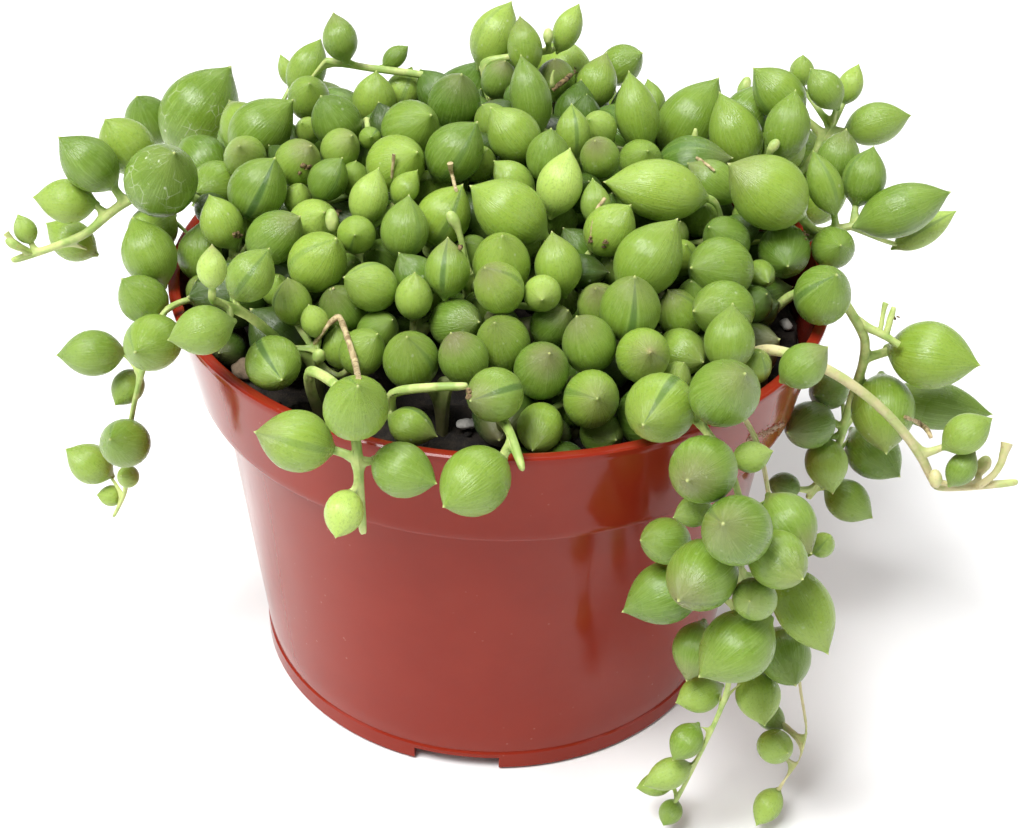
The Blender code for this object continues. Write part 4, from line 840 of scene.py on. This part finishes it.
def give_character(leaf, number, deep):
    """Random values for a leaf, by where it grows; deep and sunk leaves get a lower tone, which is painted
    shade.
    """
    pick = random.Random(1000 + number)
    x, y, z = leaf["centre"]
    u, v = picture_place(leaf["centre"])
    small = clamped((SMALL_GIRTH - leaf["girth"]) / 0.004)
    # Painted shade: a leaf sunk under the mound's surface, and every deeper leaf, gets a lower tone
    sunk = 0.0
    if math.hypot(x, y) < MOUND_EDGE:
        sunk = clamped((mound_top(x, y) - z - 0.004) / 0.009)
    tone = pick.uniform(0.20, 1.0) - (1.1 if deep else 0.6 * sunk)
    youth = 0.0 if deep else small * pick.uniform(0.0, 0.45)
    purple = sum(strength * math.exp(-((u - u0) / wide) ** 2 - ((v - v0) / high) ** 2)
                 for u0, v0, wide, high, strength in BLOOM_SPOTS)
    bloom = min(0.85, purple * pick.uniform(0.4, 1.0) + (0.35 if pick.random() < 0.15 else 0.0))
    leaf.update(tone=tone, youth=youth, bloom=bloom,
                stripe=pick.uniform(0.25, 0.65) if pick.random() < 0.5 else 0.0,
                roll=pick.uniform(-math.pi, math.pi), specks=pick.uniform(0.0, 0.5), dry=0.0,
                chance=pick.random(), bend=(pick.uniform(-0.10, 0.10), pick.uniform(-0.10, 0.10)),
                flat=pick.uniform(0.93, 1.0), sharp=pick.uniform(-0.5, 1.0))


for number, leaf in enumerate(leaves):
    give_character(leaf, number, False)
for number, leaf in enumerate(hidden):
    give_character(leaf, 5000 + number, True)
for number, leaf in enumerate(shaded):
    give_character(leaf, 8000 + number, False)
    # Painted shade: the leaves seen behind others are darkened
    leaf["tone"] *= 0.4
NEAR_ENOUGH = 25
seen = np.array([picture_place(leaf["centre"]) for leaf in leaves])
for key, rows in SPECIAL_LEAVES.items():
    for u, v, value in rows:
        apart = np.hypot(seen[:, 0] - u, seen[:, 1] - v)
        if apart.min() < NEAR_ENOUGH:
            leaves[int(np.argmin(apart))][key] = value
        else:
            print("no leaf near", u, v)

# %% [markdown]
# ## Placing the copies
#
# Each copy of the cage gets its own mesh. It is bent and flattened a little, then turned, stretched
# and moved onto its leaf. The stripe's side is counted from the side that faces the camera, so a
# striped leaf shows it where the picture does. The copies of one stem are joined into one piece,
# and the subdivision surface is added to that.

# %% Copy the leaf onto every stem
FULLNESS = 1.045
CAGE_POINTS = np.array([tuple(vertex.co) for vertex in leaf_cage.data.vertices])


def leaf_copy(leaf, number):
    """One leaf: a copy of the cage, shaped and put in its place."""
    mesh = leaf_cage.data.copy()
    local = CAGE_POINTS.copy()
    kind = np.tile([leaf[key] for key in ("tone", "youth", "bloom", "stripe")], len(local))
    marks = np.tile([leaf[key] for key in ("specks", "dry", "chance")], len(local))
    for name, sort, field, values in (("place", "FLOAT_VECTOR", "vector", local),
                                      ("kind", "FLOAT_COLOR", "color", kind),
                                      ("marks", "FLOAT_VECTOR", "vector", marks)):
        attribute = mesh.attributes.new(name, sort, "POINT")
        attribute.data.foreach_set(field, values.astype(np.float32).ravel())
    length = local[:, 2].copy()
    upper = np.clip(length, 0.0, None)
    local[:, 0] = local[:, 0] * leaf["flat"] + leaf["bend"][0] * upper ** 2
    local[:, 1] += leaf["bend"][1] * upper ** 2
    swell = 1.0 - 0.10 * leaf["sharp"] * np.clip((upper - 0.1) / 0.5, 0.0, 1.0)
    local[:, :2] *= swell[:, None]
    girth, stretch = leaf["girth"] * FULLNESS, leaf["stretch"]
    local *= np.array((girth, girth, girth * stretch))
    axis, roll = leaf["axis"], leaf["roll"]
    to_eye = (eye - leaf["centre"]).normalized()
    facing = to_eye - axis * to_eye.dot(axis)
    facing = facing.normalized() if facing.length > 0.05 else axis.orthogonal().normalized()
    right = facing * math.cos(roll) + axis.cross(facing) * math.sin(roll)
    frame_of = np.array([tuple(right), tuple(axis.cross(right)), tuple(axis)])
    placed = local @ frame_of + np.array(tuple(leaf["centre"]))
    mesh.vertices.foreach_set("co", placed.astype(np.float32).ravel())
    mesh.update()
    return in_scene(f"leaf_{number}", mesh)


def join_copies(copies, name):
    """Join objects into one, with this name."""
    take(copies[0])
    for copy in copies:
        copy.select_set(True)
    if len(copies) > 1:
        bpy.ops.object.join()
    joined = bpy.context.view_layer.objects.active
    joined.name = name
    return joined


for name in leafy_nodes:
    copies = [leaf_copy(leaf, i) for i, leaf in enumerate(leaves) if leaf["node"] == name]
    piece = join_copies(copies, f"{name}_leaves")
    smooth_levels(piece, 2)
    finish_piece(piece, leaf_skin, "leaf", name)
print("every stem has its leaves")

# %% [markdown]
# The deeper leaves are many, and most are hardly seen. The ones nearest to the top of the mound get
# the same smoothness as the rest, and the ones below them one level less.

# %% Copy the deeper leaves
SMOOTH_DEEP_LEAVES = 42


def below_top(leaf):
    """How far a leaf lies under the mound's surface."""
    return mound_top(leaf["centre"].x, leaf["centre"].y) - leaf["centre"].z


from_top = sorted(hidden, key=below_top)
for name, group, levels in (("deep_leaves", from_top[:SMOOTH_DEEP_LEAVES] + shaded, 2),
                            ("deepest_leaves", from_top[SMOOTH_DEEP_LEAVES:], 1)):
    piece = join_copies([leaf_copy(leaf, i) for i, leaf in enumerate(group)], name)
    smooth_levels(piece, levels)
    finish_piece(piece, leaf_skin, "leaf")
    print(name, len(group))

# %% [markdown]
# ## Stems
#
# The bare stems are angular copies of the solids. A subdivision surface rounds them, which also
# makes them thinner, so a small displacement along the surface gives them back their thickness.

# %% Round the stems
STEM_SWELL = 0.00018
AGED_STEMS = ("stem_right_reach", "stem_front_right_tail")
THIN_STEMS = {"stem_front_right_tail": -0.00026, "stem_left_fall": -0.00010, "stem_front_right": -0.00012}
for name, stem in stems.items():
    smooth_levels(stem, 2)
    swell = stem.modifiers.new("Thickness", "DISPLACE")
    swell.strength = THIN_STEMS.get(name, STEM_SWELL)
    swell.mid_level = 0.0
    finish_piece(stem, aged_stem if name in AGED_STEMS else stem_skin, "leaf", name)
print(len(stems), "stems rounded")

# %% [markdown]
# ## The pot
#
# The pot is one ring, extruded along the pot's profile: down the inside, across the floor, and the
# outside from the foot up to the lip. The tall band at the top stands out over the body by a small
# step, and the foot is a low ring with four notches, which are cut out of it.

# %% Extrude the pot's profile
POT_SIDES = 160
POT_OUTSIDE = (
    (0.0398, 0.0052), (0.0398, 0.0004), (0.0400, 0.0), (0.0415, 0.0), (0.0418, 0.0004), (0.0418, 0.0034),
    (0.04155, 0.0037), (0.04165, 0.0041), (0.0420, 0.0080), (0.0472, 0.0564), (0.0474, 0.0570),
    (0.0500, 0.0572), (0.0505, 0.0574), (0.0507, 0.0579), (0.05085, 0.0590),
    (0.05375, 0.0733), (0.0540, 0.0742), (0.0540, 0.0748), (0.0537, 0.0750),
)
POT_INSIDE = (
    (0.0526, 0.0750), (0.0522, 0.0748), (0.0520, 0.0743), (0.0494, 0.0590), (0.0490, 0.0578),
    (0.0460, 0.0560), (0.0405, 0.0070), (0.0390, 0.0056), (0.0, 0.0055),
)
POT_UNDERSIDE = ((0.0030, 0.0040), (0.0395, 0.0040))
pot = ring_form("nursery_pot", POT_UNDERSIDE + POT_OUTSIDE[1:] + POT_INSIDE, POT_SIDES)
print("pot:", len(pot.data.polygons), "faces")

# %% Cut the notches and the drain holes
FOOT_RADIUS = 0.0418
NOTCH_TURN = math.radians(-97)
NOTCH_SIZE = (0.0088, 0.0145, 0.0052)
DRAIN_CIRCLE, DRAIN_RADIUS = 0.030, 0.004


def cutter_box(name, place, size, turn):
    """A box that will be cut out of the pot."""
    bpy.ops.object.select_all(action="DESELECT")
    bpy.ops.mesh.primitive_cube_add(size=1.0, location=place, rotation=(0.0, 0.0, turn), scale=size)
    box = bpy.context.object
    box.name = name
    bpy.ops.object.transform_apply(location=True, rotation=True, scale=True)
    return box


def cut_out(thing, cutter):
    """Cut one object out of another and remove the cutter."""
    hole = thing.modifiers.new("Cut", "BOOLEAN")
    hole.operation = "DIFFERENCE"
    hole.object = cutter
    hole.solver = "EXACT"
    apply_modifiers(thing)
    bpy.data.objects.remove(cutter)


for i in range(4):
    turn = NOTCH_TURN + i * math.tau / 4
    cut_out(pot, cutter_box(f"notch_{i}", (*on_circle(FOOT_RADIUS, turn), 0.0), NOTCH_SIZE, turn))
for i in range(4):
    place = (*on_circle(DRAIN_CIRCLE, (i + 0.5) * math.tau / 4), 0.005)
    bpy.ops.object.select_all(action="DESELECT")
    bpy.ops.mesh.primitive_cylinder_add(vertices=48, radius=DRAIN_RADIUS, depth=0.012, location=place)
    drill = bpy.context.object
    bpy.ops.object.transform_apply(location=True)
    cut_out(pot, drill)
finish_piece(pot, pot_plastic, "pot_plastic", "pot")
take(pot)
bpy.ops.object.shade_smooth_by_angle(angle=math.radians(32))
print("pot cut:", len(pot.data.polygons), "faces")

# %% [markdown]
# ## Potting mix, grit and dry bits
#
# The solid of the mix stays, with its new finish, and carries a crumbly crust: a disc that is
# subdivided and pushed up and down by noise, and a few hundred crumbs. The named stones, the bark
# chip and the dry stalk are rounded, roughened copies of their solids.

# %% Crust of potting mix
nodes["soil"].data.materials.clear()
nodes["soil"].data.materials.append(mix_crumb.material)
CRUST_RADIUS = 0.0499
CRUST_MIDDLE = 0.0008
CRUST_DEPTH = 0.004
CRUST_RINGS, CRUST_SIDES = 44, 150
crust_step = [(CRUST_RADIUS - CRUST_MIDDLE) * i / CRUST_RINGS for i in range(CRUST_RINGS + 1)]
crust = ring_form("potting_crust", [(CRUST_MIDDLE + out, 0.0) for out in crust_step], CRUST_SIDES)


def mix_height(x, y):
    """The lumpy height of the potting mix."""
    lumps = math.sin(310 * x + 1.3) * math.cos(270 * y) + 0.6 * math.sin(520 * y + 190 * x)
    level = SOIL_TOP + 0.0008 * lumps
    for scale, rise in ((160.0, 0.0012), (420.0, 0.0009), (1000.0, 0.0005)):
        level += rise * noise.noise(Vector((x * scale, y * scale, 3.0)))
    return level + 0.0009


for vertex in crust.data.vertices:
    x, y, _ = vertex.co
    edge = clamped((CRUST_RADIUS - math.hypot(x, y)) / 0.0012)
    vertex.co.z = mix_height(x, y) - 0.0016 * (1 - edge)
edit_all(crust)
bpy.ops.mesh.extrude_region_move(TRANSFORM_OT_translate={"value": (0.0, 0.0, -CRUST_DEPTH)})
turn_faces_out()
finish_piece(crust, mix_crumb, "potting_mix")

# %% Crumbs and perlite
crumb_pick = random.Random(5)


def lump(name, squash, seed):
    """A rough little lump: an icosphere whose points are moved by noise."""
    bpy.ops.object.select_all(action="DESELECT")
    bpy.ops.mesh.primitive_ico_sphere_add(subdivisions=2, radius=1.0)
    thing = bpy.context.object
    thing.name = name
    turn = Matrix.Rotation(seed * 1.7, 3, "Z") @ Matrix.Rotation(seed * 0.9, 3, "X")
    for vertex in thing.data.vertices:
        rough = 1.0 + 0.35 * noise.noise(vertex.co * 1.3 + Vector((seed, 0.0, 0.0)))
        x, y, z = vertex.co
        vertex.co = turn @ Vector((x, y * squash[0], z * squash[1])) * rough
    return thing


LUMPS = [lump(f"lump_{i}", (0.9 - 0.13 * i, 0.75 - 0.1 * i), 3.7 * i) for i in range(4)]


def scattered(name, places, pick):
    """Copies of the lumps, one at each (place, size), each turned its own way, joined into one piece."""
    copies = []
    for number, (place, size) in enumerate(places):
        copy = in_scene(f"{name}_{number}", LUMPS[pick.randrange(len(LUMPS))].data.copy())
        turn = Matrix.Rotation(pick.uniform(0, 6.3), 4, "Z")
        tilt = Matrix.Rotation(pick.uniform(-0.5, 0.5), 4, "X")
        copy.data.transform(Matrix.Translation(Vector(place)) @ turn @ tilt @ Matrix.Scale(size, 4))
        copies.append(copy)
    return join_copies(copies, name)


def on_the_mix(count, smallest, largest, reach, sink):
    """Random places on the potting mix, with sizes."""
    found = []
    for _ in range(count):
        turn = crumb_pick.uniform(0, math.tau)
        around = reach * math.sqrt(crumb_pick.random())
        x, y = on_circle(around, turn)
        size = smallest + (largest - smallest) * crumb_pick.random() ** 2
        found.append(((x, y, mix_height(x, y) + sink * size), size))
    return found


crumbs = scattered("mix_crumbs", on_the_mix(420, 0.0004, 0.0017, 0.049, 0.2), crumb_pick)
finish_piece(crumbs, mix_crumb, "potting_mix")
perlite = scattered("perlite", on_the_mix(30, 0.0005, 0.0012, 0.048, 0.3), crumb_pick)
finish_piece(perlite, pale_stone, "grit")
print("crumbs:", len(crumbs.data.polygons), "faces, pale bits:", len(perlite.data.polygons))

# %% Stones, bark and the dry stalk


def rounded_copy(node_name, new_name, levels, rough, scale, finish, slot):
    """A smooth, roughened copy of a small solid."""
    copy = in_scene(new_name, nodes[node_name].data.copy())
    edit_all(copy)
    bpy.ops.mesh.remove_doubles(threshold=SAME_POINT)
    bpy.ops.object.mode_set(mode="OBJECT")
    smooth_levels(copy, levels)
    apply_modifiers(copy)
    for vertex in copy.data.vertices:
        vertex.co += vertex.normal * rough * noise.noise(vertex.co * scale)
    finish_piece(copy, finish, slot, node_name)


rounded_copy("stone_pale", "pale_stone", 3, 0.0004, 900.0, pale_stone, "grit")
rounded_copy("stone_grey", "grey_stone", 3, 0.0004, 900.0, pale_stone, "grit")
rounded_copy("bark_chip", "bark_piece", 3, 0.0005, 700.0, bark_skin, "bark")
rounded_copy("dry_stalk", "bent_dry_stalk", 2, 0.0001, 1200.0, dry_skin, "dry_stalk")
print("four small bits")

# %% [markdown]
# ## Dry stalks, stubs and scars
#
# A grown plant has its history on it: withered flower stalks that stand up between the leaves,
# brown ends where a stem was cut, and a mineral crust where hard water dried on the rim. They are
# small, but they keep the plant from looking made. Each is laid on what is seen at its place in
# the picture: we follow the sight line to the first leaf that it meets, and lift the point a little.

# %% Thin strands
WRINKLE, WRINKLE_SCALE = 0.00012, 900.0
# A fixed seed, so that the noise wrinkles the strands in the same way on each run.
noise.seed_set(17)


def strand(name, points, finish, away):
    """A thin closed strand through (u, v, lift, radius) points, all in millimetres but the pixels."""
    curve = bpy.data.curves.new(name, "CURVE")
    curve.dimensions = "3D"
    curve.bevel_depth = 0.001
    curve.bevel_resolution = 2
    curve.use_fill_caps = True
    line = curve.splines.new("NURBS")
    line.points.add(len(points) - 1)
    line.order_u = 3
    line.use_endpoint_u = True
    line.resolution_u = 4
    touches = [first_touch(u, v) if away is None else away for u, v, _, _ in points]
    known = [t for t in touches if t is not None]
    for place, touch, (u, v, lift, radius) in zip(line.points, touches, points):
        along = (touch if touch is not None else sum(known) / len(known)) - lift / 1000
        place.co = (*(eye + sight_line(u, v) * along), 1.0)
        place.radius = radius
    take(in_scene(name, curve))
    bpy.ops.object.convert(target="MESH")
    thing = bpy.context.object
    thing.name = name
    for vertex in thing.data.vertices:
        vertex.co += WRINKLE * noise.noise_vector(vertex.co * WRINKLE_SCALE)
    finish_piece(thing, finish, "leaf" if finish in (stem_skin, aged_stem) else "dry_stalk")


# %% Lay out the dry stalks
RIGHT_STALK_Y = -0.0135
REACH_TIP_Y = -0.030


def away_at(u, v, y):
    """How far along a pixel's sight line a plane y is."""
    return (y - eye.y) / sight_line(u, v).y


right_stalk_away = away_at(880, 330, RIGHT_STALK_Y)
# Each strand: its finish, how far its plane is or None to lie on the leaves, and its points.
STRANDS = {
    "dry_twig": (dry_skin, None, (
        (305, 360, 0.3, 0.25), (318, 337, 2, 0.35), (336, 316, 3.2, 0.45), (341, 318, 3.2, 0.5),
        (350, 345, 2.2, 0.45), (357, 368, 0.6, 0.5), (358, 378, -0.5, 0.4))),
    "dry_sliver": (dry_skin, None, (
        (320, 303, 0.2, 0.25), (327, 295, 0.8, 0.3), (334, 288, 0.7, 0.15))),
    "dry_stub_left": (dry_skin, None, (
        (456, 190, 0, 0.3), (453, 178, 0.8, 0.3), (450, 168, 1, 0.35), (450, 163, 1, 0.5))),
    "dry_stub_far": (dry_skin, None, (
        (392, 178, 0, 0.25), (393, 165, 0.8, 0.25), (394, 154, 1, 0.3))),
    "dry_fork": (dry_skin, None, (
        (592, 238, -0.5, 0.4), (593, 222, 0.8, 0.3), (597, 208, 1.2, 0.3), (605, 198, 1.4, 0.3))),
    "dry_needle": (dry_skin, None, (
        (697, 158, 0.6, 0.3), (706, 164, 1, 0.35), (715, 171, 0.6, 0.2))),
    "dry_loop": (dry_skin, None, (
        (905, 417, 0.6, 0.3), (911, 419, 1.2, 0.4), (921, 424, 1.4, 0.45), (929, 431, 1.2, 0.45),
        (931, 438, 0.8, 0.3))),
    "stub_one": (stem_skin, right_stalk_away, (
        (880, 334, 0, 0.4), (882, 318, 0, 0.35), (884, 310, 0.3, 0.4), (886, 303, 0.4, 0.55))),
    "stub_two": (stem_skin, right_stalk_away, (
        (886, 336, 0, 0.5), (889, 322, 0, 0.55), (893, 311, 0.2, 0.5), (894, 307, 0.2, 0.3))),
    "right_stalk": (stem_skin, right_stalk_away, (
        (852, 316, 0, 0.7), (864, 326, 0, 0.75), (876, 331, 0.2, 0.7), (887, 337, 0, 0.6),
        (899, 345, -0.4, 0.6))),
    "left_fork": (aged_stem, away_at(20, 248, 0.0), (
        (30, 252, 0, 0.5), (20, 246, 0.2, 0.5), (12, 240, 0.3, 0.4), (6, 233, 0.3, 0.6))),
    "reach_fork": (aged_stem, away_at(990, 475, REACH_TIP_Y), (
        (976, 487, 0, 0.5), (990, 479, 0.3, 0.6), (999, 468, 0.4, 0.55), (1004, 455, 0.4, 0.6),
        (1007, 443, 0.4, 0.95))),
    "flower_stalk": (stem_skin, None, (
        (547, 122, -1, 0.9), (551, 104, 0.6, 0.75), (553, 90, 1.6, 0.6), (551, 78, 1.8, 0.35),
        (554, 70, 1.8, 0.25))),
    "flower_twig": (scab_skin, None, (
        (553, 90, 1.6, 0.45), (560, 84, 1.8, 0.45), (570, 76, 2, 0.5), (574, 72, 2, 0.4))),
}
for name, (finish, away, points) in STRANDS.items():
    strand(name, points, finish, away)
print("dry stalks laid")

# %% Scars on the stems, and the crust on the pot
scar_pick = random.Random(21)
NEAREST_WALL, FARTHEST_WALL, WALL_STEP = 0.22, 0.36, 0.0001
USUAL_DISTANCE = 0.29
SCARS = {
    # pixel: spread in pixels, count of bits, size
    (462, 247): (4, 6, 0.0006), (463, 391): (7, 7, 0.0006), (334, 212): (4, 6, 0.0006),
    (306, 167): (5, 8, 0.0007), (236, 236): (4, 5, 0.0006), (590, 240): (4, 5, 0.0005),
    (604, 243): (3, 4, 0.0004), (806, 236): (4, 4, 0.0005), (894, 318): (4, 4, 0.0005),
    (524, 471): (2, 3, 0.0005), (575, 71): (3, 5, 0.0005),
}
bits = []
for (u, v), (spread, count, size) in SCARS.items():
    touch = first_touch(u, v)
    for _ in range(count):
        du, dv = scar_pick.gauss(0, 0.5 * spread), scar_pick.gauss(0, 0.5 * spread)
        away = (first_touch(u + du, v + dv) or touch or USUAL_DISTANCE) - 0.2 * size
        bits.append((tuple(eye + sight_line(u + du, v + dv) * away), size * scar_pick.uniform(0.6, 1.2)))
finish_piece(scattered("dry_scars", bits, scar_pick), scab_skin, "dry_stalk")


def wall_touch(u, v):
    """Where a pixel's sight line meets the outside of the pot."""
    heights = [height for _, height in POT_OUTSIDE]
    radii = [radius for radius, _ in POT_OUTSIDE]
    way = sight_line(u, v)
    away = NEAREST_WALL
    while away < FARTHEST_WALL:
        point = eye + way * away
        inside = math.hypot(point.x, point.y) < float(np.interp(point.z, heights, radii))
        if point.z < heights[-1] and inside:
            return point
        away += WALL_STEP
    return None


CRUST_LINE = ((747, 440), (758, 436), (770, 430), (783, 424))
bits = []
for _ in range(170):
    part, corner = math.modf(scar_pick.random() * (len(CRUST_LINE) - 1))
    (u0, v0), (u1, v1) = CRUST_LINE[int(corner):int(corner) + 2]
    u = u0 + part * (u1 - u0)
    v = v0 + part * (v1 - v0) + scar_pick.gauss(0, 1.6)
    point = wall_touch(u, v)
    if point:
        bits.append((tuple(point), scar_pick.uniform(0.00010, 0.00036)))
finish_piece(scattered("rim_crust", bits, scar_pick), lime_crust, "grit")
print("scars and crust laid")

# %% Remove the cage and the lumps
bpy.data.objects.remove(leaf_cage)
for thing in LUMPS:
    bpy.data.objects.remove(thing)
bpy.context.view_layer.update()
